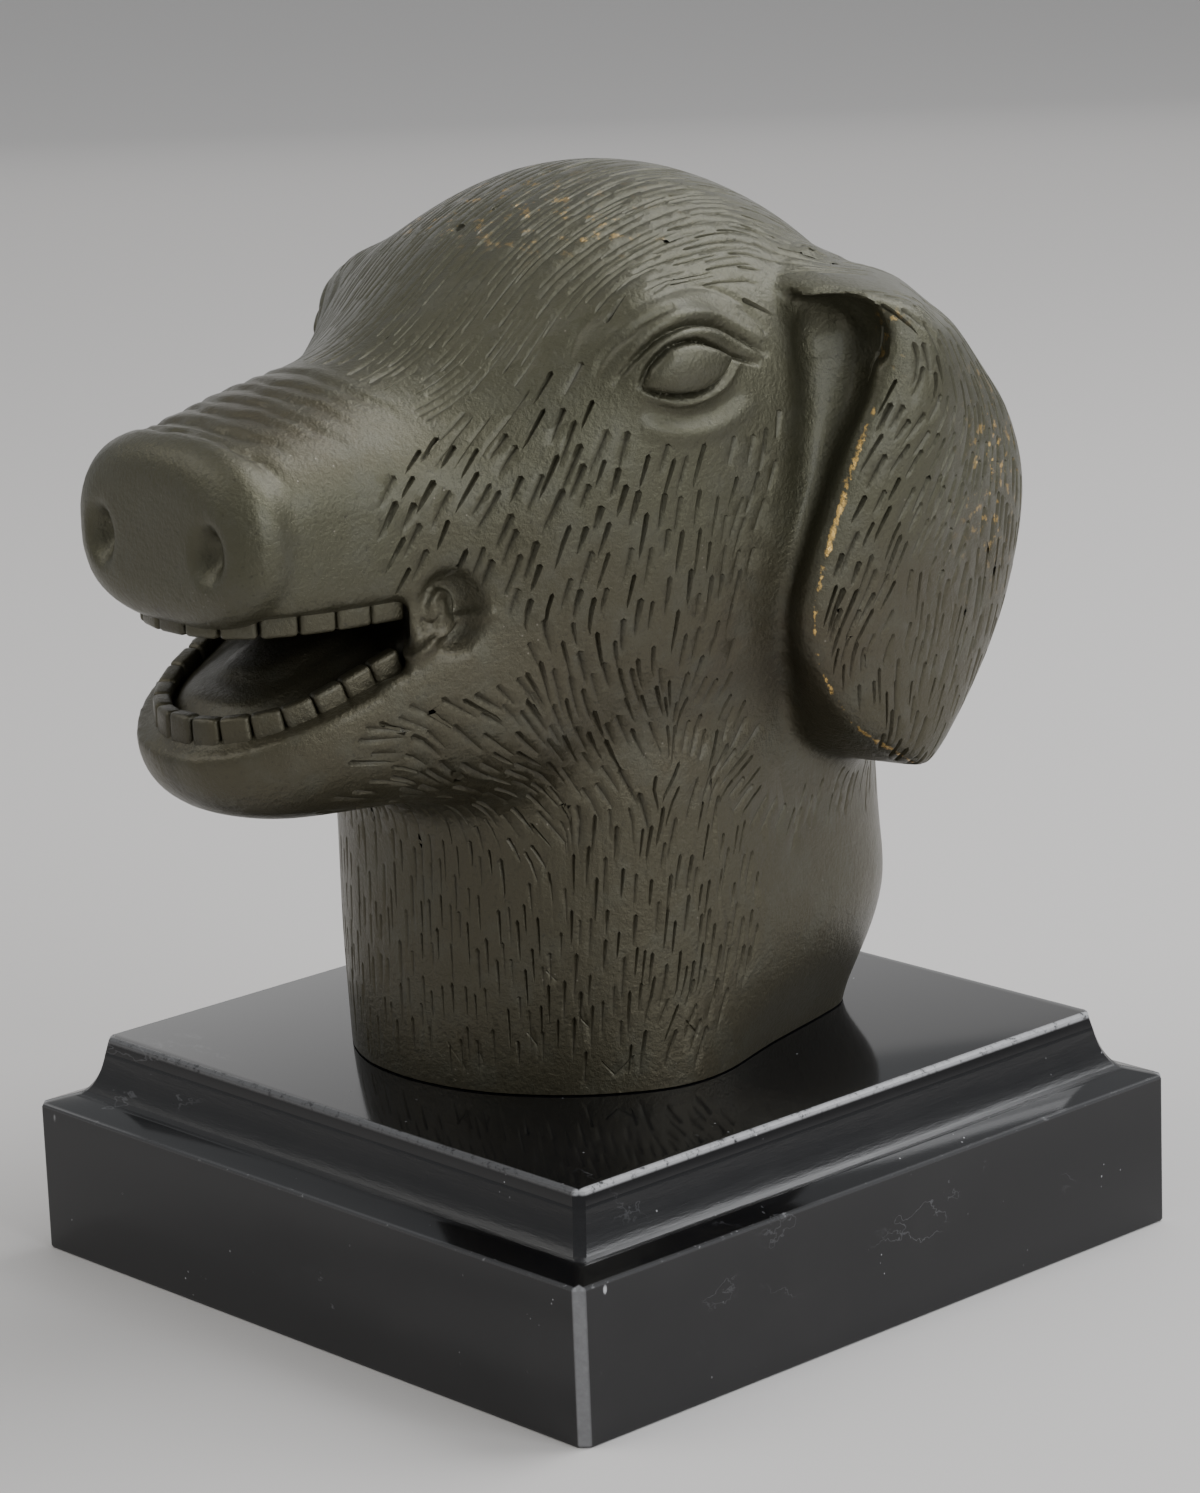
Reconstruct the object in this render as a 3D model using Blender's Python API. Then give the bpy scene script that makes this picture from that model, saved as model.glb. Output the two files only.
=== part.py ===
"""Cast bronze head of a pig, mouth open, on a square plinth of polished black marble.

The pig looks along -Y. The origin is the centre of the plinth's underside, and +Z is up.
"""

import math

import bmesh
import bpy
import numpy as np
from mathutils import Matrix, Vector

# Driving dimensions, in metres.
PLINTH_SIDE = 0.150
SLAB_HEIGHT = 0.0288
STEP_HEIGHT = 0.0126
STEP_INSET = 0.0094
LEDGE_WIDTH = 0.0054
LEDGE_RISE = 0.0016
FILLET_HEIGHT = 0.0032
FILLET_BATTER = 0.0005
SLAB_ARRIS = 0.0006
STEP_ARRIS = 0.0009
CORNER_CHAMFER = 0.0016
HEAD_HEIGHT = 0.1605
SEAT_GAP = 0.0003

# The head is a free form, drawn on a grid of 160.5 units from the neck's cut to the crown.
# In that grid x is across, y runs from the snout (minus) to the nape, and z is up from the cut.
GRID_HEIGHT = 160.5
UNIT = HEAD_HEIGHT / GRID_HEIGHT

PLINTH_TOP = SLAB_HEIGHT + STEP_HEIGHT
RING_POINTS = 64
BODY_GRAIN = 2.4
BODY_SMOOTHING = 14
FINE_GRAIN = 1.05
FINE_SMOOTHING = 2
HEAD_TRIANGLES = 9200

# Skull and upper snout, by y: half width, top, widest height, bottom, roundness above, below.
SKULL = [
    (-90.0, 24.4, 126.4, 110.6, 86.0, 2.3, 4.0),
    (-80.0, 24.4, 129.0, 111.0, 86.0, 2.2, 4.0),
    (-68.0, 26.4, 132.0, 110.0, 86.0, 2.1, 4.0),
    (-58.0, 29.0, 133.8, 108.0, 84.0, 1.9, 3.6),
    (-49.0, 33.2, 136.6, 106.0, 66.0, 1.8, 2.8),
    (-39.0, 38.4, 143.0, 108.0, 52.0, 1.75, 2.6),
    (-26.0, 43.4, 151.4, 112.0, 48.0, 2.1, 2.5),
    (-12.0, 46.6, 157.4, 113.0, 46.0, 2.15, 2.5),
    (3.0, 48.0, 160.9, 112.0, 46.0, 2.15, 2.5),
    (18.0, 48.0, 159.6, 111.0, 47.0, 2.1, 2.5),
    (32.0, 46.0, 154.0, 109.0, 48.0, 2.1, 2.5),
    (44.0, 42.0, 146.4, 106.0, 48.0, 2.0, 2.4),
    (54.0, 36.6, 138.0, 101.0, 48.0, 2.0, 2.2),
    (62.0, 28.0, 126.0, 95.0, 52.0, 2.0, 2.0),
    (66.5, 17.0, 113.0, 92.0, 60.0, 2.0, 2.0),
    (68.5, 6.0, 101.0, 90.0, 76.0, 2.0, 2.0),
]

# The flat end of the snout, by y: half width and half height.
DISC = [
    (-97.2, 14.0, 9.6), (-96.8, 18.6, 12.6), (-95.4, 22.0, 15.0), (-92.8, 24.4, 16.6),
    (-89.6, 25.2, 17.0), (-86.2, 24.2, 16.2), (-81.0, 21.0, 14.0),
]
DISC_MIDDLE = 110.0

# Lower jaw, by y: half width, rim height, widest height, bottom, roundness above, below.
JAW = [
    (-96.4, 7.0, 72.0, 70.0, 66.0, 3.0, 2.0),
    (-94.2, 12.2, 79.0, 72.0, 63.2, 3.0, 2.2),
    (-91.0, 16.6, 80.0, 73.0, 60.6, 3.5, 2.3),
    (-86.0, 21.4, 81.0, 75.0, 58.4, 3.5, 2.4),
    (-79.0, 25.0, 84.0, 77.0, 56.9, 3.5, 2.5),
    (-70.0, 27.4, 88.0, 79.0, 56.3, 3.5, 2.6),
    (-60.0, 30.4, 94.0, 81.0, 55.8, 3.5, 2.7),
    (-50.0, 33.2, 100.0, 82.0, 54.6, 3.5, 2.7),
    (-40.0, 36.0, 100.0, 82.0, 52.0, 3.0, 2.7),
    (-28.0, 36.0, 96.0, 80.0, 56.0, 3.0, 2.7),
]

# The neck's half outline from the throat round to the nape: at its full girth under the head,
# and at the cut, where its sides are pared away towards the back.
NECK_FULL = [
    (0.0, -43.8), (13.0, -42.0), (25.0, -35.8), (34.0, -26.0), (39.2, -13.0), (40.4, 2.0),
    (39.8, 17.0), (37.4, 32.0), (31.0, 46.0), (18.0, 57.5), (0.0, 60.5),
]
NECK_FOOT = [
    (0.0, -43.8), (12.5, -41.8), (24.5, -35.2), (33.8, -25.8), (40.2, -13.5), (38.4, -1.5),
    (34.6, 8.0), (31.8, 18.0), (28.8, 29.5), (23.8, 41.8), (0.0, 50.0),
]
# How far the neck has swelled from its foot to its full girth, by height.
NECK_SWELL = [(-8.0, 0.0), (0.0, 0.0), (8.0, 0.42), (16.0, 0.8), (24.0, 1.0), (34.0, 0.9), (62.0, 0.8)]
# The casting is a little fuller on its right, towards the front.
NECK_LEAN = 3.1
LEAN_WAY = (-0.683, -0.730)

# The ear, by height: front edge, outermost swell, rear corner, heel, and root of the front edge.
EAR = [
    (145.5, (32, 18), (33, 22.5), (29, 27), (22, 34), (28, 20)),
    (142.6, (37, 15), (40.5, 21), (35.5, 30.5), (26, 39), (32, 18)),
    (140.6, (42, 13.4), (48, 21.5), (40.5, 35), (29, 43), (37, 15)),
    (138.6, (48.6, 15.6), (53.4, 25.5), (43.2, 39), (32, 47), (43, 17)),
    (136.4, (53, 21.4), (56.4, 30), (45, 42), (33, 51), (47, 23.5)),
    (133.0, (55, 23.4), (58, 33), (47, 45.2), (35, 54), (49, 26)),
    (129.5, (56, 23.4), (59.6, 34), (49, 49), (36, 57), (50, 26.6)),
    (121.0, (56.6, 20.4), (60.8, 34.5), (51.2, 54), (38, 61), (50, 23)),
    (113.0, (56.6, 15.6), (61, 33), (52, 58.8), (39, 66), (50, 17.4)),
    (103.0, (56.2, 11.2), (60.6, 31), (52.4, 61.8), (40, 68), (49, 12.4)),
    (94.0, (55.6, 7.7), (60, 29), (52.6, 61.6), (41, 67), (48, 8.4)),
    (86.0, (55.0, 5.6), (59.2, 28), (52.6, 59.8), (41, 64), (46, 6.6)),
    (79.0, (54.6, 5.8), (58.6, 28), (52.6, 57.4), (41.5, 61), (44.5, 8.0)),
    (72.5, (54, 8.6), (57.6, 29.5), (52.6, 54.2), (42, 58), (43, 10.4)),
    (66.0, (53.6, 13.0), (56.6, 31.5), (52.6, 50), (42.5, 54), (42, 12.6)),
    (60.5, (53.2, 18.8), (55.8, 33.5), (52.4, 46), (43.5, 49.5), (42, 14.6)),
    (56.0, (52.8, 25.8), (54.6, 35), (52, 42.4), (44.5, 45.5), (42, 19.6)),
    (52.6, (52.2, 31.4), (53, 35.6), (51.4, 39.6), (46, 41.5), (42.5, 26.5)),
    (50.8, (51.2, 34.5), (51.8, 36), (50.8, 37.6), (47.5, 38.2), (44.5, 34)),
]
EAR_ROOT_DEPTH = 34.0
EAR_FILLET = 4.5

# The hollow before the ear, by height: its middle and half width along y, and its floor's x.
CONCH = [
    (139.4, 16.6, 2.4, 47.0), (138.6, 17.0, 4.8, 44.0), (136.4, 17.8, 7.0, 42.0), (132.0, 18.4, 8.2, 41.2),
    (127.0, 17.8, 8.0, 42.2), (121.0, 16.2, 7.4, 44.0), (114.0, 13.4, 6.2, 45.6), (105.0, 10.2, 4.8, 47.0),
    (96.0, 7.6, 3.6, 47.6), (89.0, 6.4, 2.4, 48.0),
]
# Below this height the hollow has soft sides; above it they are crisp.
CONCH_LIP = 126.0
CONCH_MIDDLE = 50.5

# The lips: the lower rim climbs from the chin to the corner, the upper one is level.
LOWER_RIM = [
    (-104.0, 71.0), (-97.0, 71.0), (-91.0, 73.4), (-86.0, 75.4), (-79.0, 78.2), (-70.0, 81.4),
    (-63.6, 84.4),
]
UPPER_LIP = 96.6
# The bowl inside the teeth: how far in it starts, and its share of that plan by depth under the rim.
CAVITY_INSET = 6.6
CAVITY_BACK = 25.4
CAVITY_BOWL = [(0.1, 7.5), (0.5, 7.2), (0.8, 5.6), (0.95, 2.6), (1.0, -2.0), (1.0, -30.0)]

# Plan of the lower rim, from the chin to the corner.
RIM_PLAN = [
    (0.0, -96.6), (5.0, -96.0), (9.6, -94.4), (14.6, -91.2), (19.4, -86.0), (22.9, -79.5),
    (25.1, -71.0), (26.8, -64.0),
]
LOWER_TOOTH_TOP = [
    (-95.0, 80.8), (-91.5, 79.6), (-84.0, 81.0), (-80.5, 82.2), (-73.0, 84.6), (-63.0, 88.0),
]
LOWER_TOOTH_FOOT = [
    (-95.0, 75.0), (-91.5, 74.4), (-84.0, 76.4), (-77.0, 78.8), (-71.0, 81.2), (-63.0, 84.6),
]
UPPER_ROW = [
    (0.0, -92.8), (5.5, -92.2), (11.0, -90.0), (15.6, -85.6), (18.8, -79.4), (21.0, -72.0), (22.6, -64.6),
]
UPPER_TOOTH_TIP = 91.8
UPPER_TEETH = 13
# The tongue, by y: half width and top.
TONGUE = [
    (-85.0, 4.0, 79.0), (-83.0, 7.6, 81.6), (-76.0, 10.0, 84.0), (-66.0, 11.0, 87.6), (-55.0, 11.4, 91.0),
    (-46.0, 11.4, 92.0),
]
TOOTH_PITCH = 5.3
TOOTH_GAP = 0.7
TOOTH_DEPTH = 3.2
TOOTH_ROUNDING = 0.8

NOSTRILS = (14.6, -97.0, 108.2)
# The eye's lines: half width, depth (a ridge where minus), and points as (y, z) on the cheek.
EYE_LINES = [
    (1.0, 1.5, [
        (-26.4, 129.1), (-24.0, 132.8), (-19.4, 136.8), (-12.7, 138.3), (-5.5, 136.9), (0.1, 133.8),
        (5.0, 130.2),
    ]),
    (1.0, 1.5, [
        (-22.9, 128.9), (-21.5, 131.9), (-18.1, 135.0), (-13.2, 135.3), (-8.4, 133.7), (-3.1, 131.1),
        (2.9, 129.0),
    ]),
    (0.9, 1.1, [(-22.1, 128.3), (-17.2, 126.8), (-12.5, 126.5), (-7.5, 128.0), (-4.0, 130.4)]),
    (1.0, -0.7, [(-23.0, 128.1), (-17.6, 125.2), (-12.3, 125.1), (-5.9, 126.5), (-1.9, 128.8)]),
    (1.5, 1.0, [(-22.6, 124.9), (-15.9, 122.2), (-9.1, 122.5), (-1.0, 125.6)]),
    (1.6, -0.6, [(-22.0, 121.8), (-15.5, 119.6), (-8.0, 119.8), (0.5, 122.8)]),
    (0.9, 0.7, [(-25.8, 135.3), (-22.7, 138.1), (-16.6, 140.6)]),
]
# The eyeball: its centre as (y, z), half length, half height and slope.
EYE_BALL = (-13.6, 130.9, 9.6, 4.6, 0.1)
EYE_BULGE = 1.5
EYE_INNER_LIMIT = 25.0
EYE_REACH = 26.0
WRINKLES = [-90.6, -85.6, -80.2, -75.0, -69.6, -64.4]


def material(name, colour, metallic, roughness):
    made = bpy.data.materials.new(name)
    made.use_nodes = True
    shader = made.node_tree.nodes["Principled BSDF"]
    shader.inputs["Base Color"].default_value = (*colour, 1.0)
    shader.inputs["Metallic"].default_value = metallic
    shader.inputs["Roughness"].default_value = roughness
    made.diffuse_color = (*colour, 1.0)
    return made


def link(name, shape):
    """Turns a bmesh into an object of the scene."""
    bmesh.ops.recalc_face_normals(shape, faces=shape.faces)
    mesh = bpy.data.meshes.new(name)
    shape.to_mesh(mesh)
    shape.free()
    made = bpy.data.objects.new(name, mesh)
    bpy.context.scene.collection.objects.link(made)
    return made


def settled(made):
    """The object with its modifiers applied, under the same name."""
    mesh = bpy.data.meshes.new_from_object(made.evaluated_get(bpy.context.evaluated_depsgraph_get()))
    made.modifiers.clear()
    made.data = mesh
    return made


def remeshed(made, grain, smoothing):
    """One skin round all the shells of the object, with its creases softened."""
    skin = made.modifiers.new("skin", "REMESH")
    skin.mode = "VOXEL"
    skin.voxel_size = grain
    soften = made.modifiers.new("soften", "SMOOTH")
    soften.factor = 0.5
    soften.iterations = smoothing
    return settled(made)


def curve_point(points, i, t, closed):
    """A point of the smooth curve through the points, at share t between point i and the next."""
    size = len(points)
    spots = [(i + k) % size if closed else min(max(i + k, 0), size - 1) for k in (-1, 0, 1, 2)]
    before, start, end, after = (points[k] for k in spots)
    return 0.5 * (2 * start + (end - before) * t + (2 * before - 5 * start + 4 * end - after) * t * t
                  + (3 * start - before - 3 * end + after) * t ** 3)


def smooth_rows(rows, steps):
    """Rows of numbers, with more of them between on a smooth curve."""
    table = [np.array(row, float) for row in rows]
    spans = [(i, k / steps) for i in range(len(table) - 1) for k in range(steps)]
    return [curve_point(table, i, t, False) for i, t in spans] + [table[-1]]


def even_points(points, count, closed):
    """Evenly spaced points along the smooth curve through the points."""
    table = [np.array(point, float) for point in points]
    last = len(table) if closed else len(table) - 1
    dense = [curve_point(table, i, k / 16, closed) for i in range(last) for k in range(16)]
    dense.append(table[0] if closed else table[-1])
    dense = np.array(dense)
    reach = np.concatenate([[0.0], np.cumsum(np.linalg.norm(np.diff(dense, axis=0), axis=1))])
    wanted = np.linspace(0.0, reach[-1], count + 1 if closed else count)
    spots = np.stack([np.interp(wanted, reach, dense[:, k]) for k in range(dense.shape[1])], axis=1)
    return spots[:-1] if closed else spots


def between(table, value):
    """Reads the second column of a table at a value of the first."""
    return float(np.interp(value, [row[0] for row in table], [row[1] for row in table]))


def add_loft(shape, rings):
    """Skins closed rings of equally many points, and caps both ends."""
    rows = [[shape.verts.new(point) for point in ring] for ring in rings]
    for low, high in zip(rows, rows[1:]):
        for i in range(len(low)):
            j = (i + 1) % len(low)
            shape.faces.new((low[i], low[j], high[j], high[i]))
    shape.faces.new(rows[0][::-1])
    shape.faces.new(rows[-1])


def rounded_ring(y, width, top, middle, bottom, above, below):
    """A rounded section across the head at one y."""
    ring = []
    for i in range(RING_POINTS):
        angle = 2 * math.pi * i / RING_POINTS
        c, s = math.cos(angle), math.sin(angle)
        power = 2 / (above if s >= 0 else below)
        across = math.copysign(abs(c) ** power, c) * width
        height = abs(s) ** power * (top - middle if s >= 0 else bottom - middle)
        ring.append((across, y, middle + height))
    return ring


def add_ball(shape, centre, radii):
    place = Matrix.LocRotScale(Vector(centre), None, Vector(radii))
    bmesh.ops.create_icosphere(shape, subdivisions=3, radius=1.0, matrix=place)


def add_sweep(shape, path, across, up):
    """An oval bar along a path: half width and half height may vary from point to point."""
    rings = []
    for i, spot in enumerate(path):
        ahead = path[min(i + 1, len(path) - 1)] - path[max(i - 1, 0)]
        side = np.array((ahead[1], -ahead[0], 0.0))
        side /= np.linalg.norm(side)
        turns = [2 * math.pi * k / 16 for k in range(16)]
        rise = np.array((0.0, 0.0, up))
        rings.append([spot + side * across * math.cos(a) + rise * math.sin(a) for a in turns])
    add_loft(shape, rings)


def both_ways(half):
    """A half outline and its mirror image, in order from one back end to the other."""
    return [(-x, y) for x, y in half[:0:-1]] + list(half)


def neck_ring(height, swell):
    full, foot = even_points(NECK_FULL, 24, False), even_points(NECK_FOOT, 24, False)
    half = foot + (full - foot) * swell
    ring = []
    for spot in [*half, *(half[-2:0:-1] * (-1.0, 1.0))]:
        lean = max(0.0, float(spot @ LEAN_WAY) / float(np.linalg.norm(spot)))
        x, y = spot + np.array(LEAN_WAY) * NECK_LEAN * lean ** 2
        ring.append((x, y, height))
    return ring


def ear_ring(row, draw_in):
    """One level section of the left ear. Drawn in, it lies under the ear, for the fillet at its root."""
    height = row[0]
    front, swell, corner, heel, root = (np.array(row[1 + 2 * k:3 + 2 * k]) for k in range(5))
    front = front + (-draw_in, draw_in)
    swell = swell - (draw_in, 0)
    corner = corner - draw_in
    heel = heel - draw_in
    root = root + (0, draw_in)
    rear = (EAR_ROOT_DEPTH, max(heel[1] - 6.0, root[1] + 4.0))
    inner = (EAR_ROOT_DEPTH, root[1] + 2.0)
    ring = even_points([front, swell, corner, heel, rear, inner, root], RING_POINTS, True)
    return [(x, y, height) for x, y in ring]


def add_ears(shape, draw_in):
    table = [[height, *[n for spot in spots for n in spot]] for height, *spots in EAR]
    for side in (-1, 1):
        rings = [ear_ring(row, draw_in) for row in smooth_rows(table, 3)]
        add_loft(shape, [[(side * x, y, z) for x, y, z in ring] for ring in rings])


def head_body():
    """Skull, snout, closed jaw, brows and neck, run together into one soft form."""
    shape = bmesh.new()
    add_ears(shape, EAR_FILLET)
    add_loft(shape, [rounded_ring(*row) for row in smooth_rows(SKULL, 3)])
    add_loft(shape, [rounded_ring(*row) for row in smooth_rows(JAW, 3)])
    add_loft(shape, [neck_ring(height, swell) for height, swell in smooth_rows(NECK_SWELL, 3)])
    for side in (-1, 1):
        add_ball(shape, (side * 30.4, -13.0, 131.4), (17.6, 16.0, 15.4))
    return remeshed(link("pig_head", shape), BODY_GRAIN, BODY_SMOOTHING)


def mouth_cut(shape):
    """The open mouth from side to side, as far back as the string of skin at its corner."""
    outline = list(LOWER_RIM) + [(LOWER_RIM[-1][0], UPPER_LIP), (LOWER_RIM[0][0], UPPER_LIP)]
    rings = [[(x, y, z) for y, z in outline] for x in (-50.0, 50.0)]
    add_loft(shape, rings)


def inset_plan(distance, back):
    """The lower rim's half plan, moved inward, as far back as asked."""
    spots = even_points(both_ways(RIM_PLAN), 61, False)
    ahead = np.gradient(spots, axis=0)
    inward = np.stack([-ahead[:, 1], ahead[:, 0]], axis=1)
    inward /= np.linalg.norm(inward, axis=1)[:, None]
    moved = spots + inward * distance
    return moved[moved[:, 1] <= back]


def cavity_cut(shape):
    """The bowl of the mouth, inside the rows of teeth."""
    back = [(CAVITY_BACK, -67.0), (CAVITY_BACK, -62.6), (20.0, -58.4), (10.0, -51.0), (0.0, -49.0)]
    back += [(-x, y) for x, y in back[-2::-1]]
    plan = even_points([*inset_plan(CAVITY_INSET, -72.0), *back], 72, True)
    middle = np.array((0.0, -70.0))
    rings = []
    for share, drop in CAVITY_BOWL:
        spots = middle + (plan - middle) * share
        rings.append([(x, y, min(between(LOWER_RIM, y) - drop, UPPER_LIP + 0.6)) for x, y in spots])
    add_loft(shape, rings)


def pocket_cut(shape):
    """The oval hollow behind the string of skin, on both cheeks."""
    for side in (-1, 1):
        add_ball(shape, (side * 32.6, -57.4, 93.0), (7.4, 6.4, 8.4))


def conch_cut(shape, lowest):
    """The channel that runs down in front of each ear, from its top to the lowest height asked for."""
    rows = [row for row in smooth_rows(CONCH, 3) if row[0] >= lowest]
    for side in (-1, 1):
        rings = []
        for height, middle, half, floor in rows:
            reach = CONCH_MIDDLE - floor
            turns = [2 * math.pi * k / 24 for k in range(24)]
            rings.append([(side * (CONCH_MIDDLE - reach * math.cos(a)), middle + half * math.sin(a), height)
                          for a in turns])
        add_loft(shape, rings)


def cut(made, draw, *details):
    """Cuts a drawn form out of the object."""
    shape = bmesh.new()
    draw(shape, *details)
    tool = link("cutter", shape)
    cutter = made.modifiers.new("cut", "BOOLEAN")
    cutter.object = tool
    cutter.operation = "DIFFERENCE"
    settled(made)
    bpy.data.objects.remove(tool)


def add_disc(shape):
    """The flat end of the snout, with its rounded rim."""
    rings = [(y, w, DISC_MIDDLE + h, DISC_MIDDLE - 1.0, DISC_MIDDLE - h, 2.3, 2.7) for y, w, h in DISC]
    add_loft(shape, [rounded_ring(*ring) for ring in rings])


def add_tooth(shape, spot, facing, width, low, high):
    """A blunt tooth with rounded edges."""
    turn = Matrix.Rotation(facing, 4, "Z")
    place = Matrix.Translation((spot[0], spot[1], (low + high) / 2)) @ turn
    size = Matrix.Diagonal((width, TOOTH_DEPTH, high - low, 1.0))
    made = bmesh.ops.create_cube(shape, size=1.0, matrix=place @ size)
    edges = {edge for vert in made["verts"] for edge in vert.link_edges}
    bmesh.ops.bevel(shape, geom=list(edges), offset=TOOTH_ROUNDING, segments=2, affect="EDGES", profile=0.5)


def add_teeth(shape):
    lower = inset_plan(4.4, -61.0)
    count = int(np.linalg.norm(np.diff(lower, axis=0), axis=1).sum() / TOOTH_PITCH)
    spots = even_points(lower, 2 * count + 1, False)
    for i in range(1, len(spots), 2):
        ahead = spots[i + 1] - spots[i - 1]
        low = between(LOWER_TOOTH_FOOT, spots[i][1]) - 2.0
        high = between(LOWER_TOOTH_TOP, spots[i][1])
        add_tooth(shape, spots[i], math.atan2(ahead[1], ahead[0]), TOOTH_PITCH - TOOTH_GAP, low, high)
    spots = even_points(both_ways(UPPER_ROW), 2 * UPPER_TEETH + 1, False)
    for i in range(1, len(spots), 2):
        ahead = spots[i + 1] - spots[i - 1]
        facing = math.atan2(ahead[1], ahead[0])
        add_tooth(shape, spots[i], facing, TOOTH_PITCH - TOOTH_GAP, UPPER_TOOTH_TIP, UPPER_LIP + 2.0)


def add_gums(shape):
    """The ridges that the teeth stand on, and the tongue between them."""
    for distance, lift in ((5.0, -0.4), (8.8, 1.2)):
        plan = inset_plan(distance, -60.0)
        path = [np.array((x, y, between(LOWER_TOOTH_FOOT, y) - 1.6 + lift)) for x, y in plan]
        add_sweep(shape, path, 2.4, 2.0)
    path = [np.array((x, y, UPPER_LIP + 1.0)) for x, y in even_points(both_ways(UPPER_ROW), 41, False)]
    add_sweep(shape, path, 3.0, 2.4)
    rows = smooth_rows(TONGUE, 4)
    add_loft(shape, [rounded_ring(y, w, top, top - 3.0, top - 10.0, 2.2, 3.0) for y, w, top in rows])


def add_pocket_bosses(shape):
    for side in (-1, 1):
        add_ball(shape, (side * 25.4, -57.6, 92.6), (3.2, 3.0, 4.4))


def head_details(body):
    """Adds the parts with crisp edges and gives the whole one fine skin."""
    shape = bmesh.new()
    shape.from_mesh(body.data)
    add_disc(shape)
    add_ears(shape, 0.0)
    add_gums(shape)
    add_teeth(shape)
    add_pocket_bosses(shape)
    shape.to_mesh(body.data)
    shape.free()
    return remeshed(body, FINE_GRAIN, FINE_SMOOTHING)


def line_reach(spots, line):
    """Distance of each point from a line drawn on the cheek, and its share of the way along it."""
    nearest = np.full(len(spots), np.inf)
    share = np.zeros(len(spots))
    for i, (start, end) in enumerate(zip(line, line[1:])):
        along = end - start
        t = np.clip((spots[:, 1:] - start) @ along / (along @ along), 0.0, 1.0)
        gap = np.linalg.norm(spots[:, 1:] - start - t[:, None] * along, axis=1)
        closer = gap < nearest
        nearest = np.where(closer, gap, nearest)
        share = np.where(closer, (i + t) / (len(line) - 1), share)
    return nearest, share


def carve_line(spots, push, points, width, depth):
    """A groove, or with a negative depth a ridge, that thins out at both ends."""
    gap, share = line_reach(spots, even_points(points, 16, False))
    fade = np.sqrt(np.clip(np.sin(math.pi * share), 0.0, 1.0))
    push -= depth * fade * np.exp(-(gap / width) ** 2)


def carve_eye(spots, push):
    """Eyeball, lids, crease and bag, alike on both sides."""
    y, z, length, height, tilt = EYE_BALL
    reach = np.maximum(np.abs(spots[:, 1] - y), np.abs(spots[:, 2] - z))
    beside = np.flatnonzero((np.abs(spots[:, 0]) > EYE_INNER_LIMIT) & (reach < EYE_REACH))
    near, change = spots[beside], np.zeros(len(beside))
    for width, depth, points in EYE_LINES:
        carve_line(near, change, points, width, depth)
    along = (near[:, 1] - y) * math.cos(tilt) + (near[:, 2] - z) * math.sin(tilt)
    across = (near[:, 2] - z) * math.cos(tilt) - (near[:, 1] - y) * math.sin(tilt)
    inside = np.clip(1.0 - (along / length) ** 2 - (across / height) ** 2, 0.0, 1.0)
    change += EYE_BULGE * np.sqrt(inside)
    push[beside] += change


def carve_nostrils(spots, push):
    x0, y0, z0 = NOSTRILS
    for side in (-1, 1):
        across = (spots[:, 0] - side * x0) / 3.0
        height = (spots[:, 2] - z0) / 4.2
        front = np.clip((-88.0 - spots[:, 1]) / 4.0, 0.0, 1.0)
        push -= 4.0 * front * np.exp(-(across ** 2 + height ** 2) ** 1.5)


def carve_wrinkles(spots, normals, push):
    """Folds of skin across the top of the snout."""
    bow = spots[:, 1] - 0.014 * spots[:, 0] ** 2
    facing_up = np.clip(normals[:, 2] * 1.6, 0.0, 1.0) * (spots[:, 2] > DISC_MIDDLE)
    fade = np.clip((25.5 - np.abs(spots[:, 0])) / 5.0, 0.0, 1.0) * facing_up
    for place in WRINKLES:
        push -= 0.7 * fade * np.exp(-((bow - place) / 1.2) ** 2)


def carved(made):
    mesh = made.data
    spots = np.empty(len(mesh.vertices) * 3)
    normals = np.empty(len(mesh.vertices) * 3)
    mesh.vertices.foreach_get("co", spots)
    mesh.vertices.foreach_get("normal", normals)
    spots, normals = spots.reshape(-1, 3), normals.reshape(-1, 3)
    push = np.zeros(len(spots))
    carve_nostrils(spots, push)
    carve_eye(spots, push)
    carve_wrinkles(spots, normals, push)
    mesh.vertices.foreach_set("co", (spots + normals * push[:, None]).ravel())
    mesh.update()
    return made


def seated(made):
    """Cuts the neck flat, thins the mesh out and sets the head on the plinth at its real size."""
    shape = bmesh.new()
    shape.from_mesh(made.data)
    everything = shape.verts[:] + shape.edges[:] + shape.faces[:]
    bmesh.ops.bisect_plane(shape, geom=everything, plane_co=(0, 0, 0), plane_no=(0, 0, 1), clear_inner=True)
    rim = [edge for edge in shape.edges if edge.is_boundary]
    bmesh.ops.contextual_create(shape, geom=rim)
    bmesh.ops.triangulate(shape, faces=shape.faces)
    bmesh.ops.recalc_face_normals(shape, faces=shape.faces)
    count = len(shape.faces)
    shape.to_mesh(made.data)
    shape.free()
    thin = made.modifiers.new("thin", "DECIMATE")
    thin.ratio = HEAD_TRIANGLES / count
    settled(made)
    made.data.transform(Matrix.Translation((0, 0, PLINTH_TOP + SEAT_GAP)) @ Matrix.Scale(UNIT, 4))
    return made


def pig_head():
    made = head_body()
    cut(made, conch_cut, 0.0)
    remeshed(made, BODY_GRAIN, BODY_SMOOTHING // 4)
    cut(made, mouth_cut)
    cut(made, cavity_cut)
    cut(made, pocket_cut)
    head_details(made)
    cut(made, conch_cut, CONCH_LIP)
    remeshed(made, FINE_GRAIN, FINE_SMOOTHING)
    carved(made)
    seated(made)
    made.data.materials.clear()
    made.data.materials.append(material("dark_bronze", (0.075, 0.066, 0.045), 0.85, 0.42))
    return made


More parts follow.
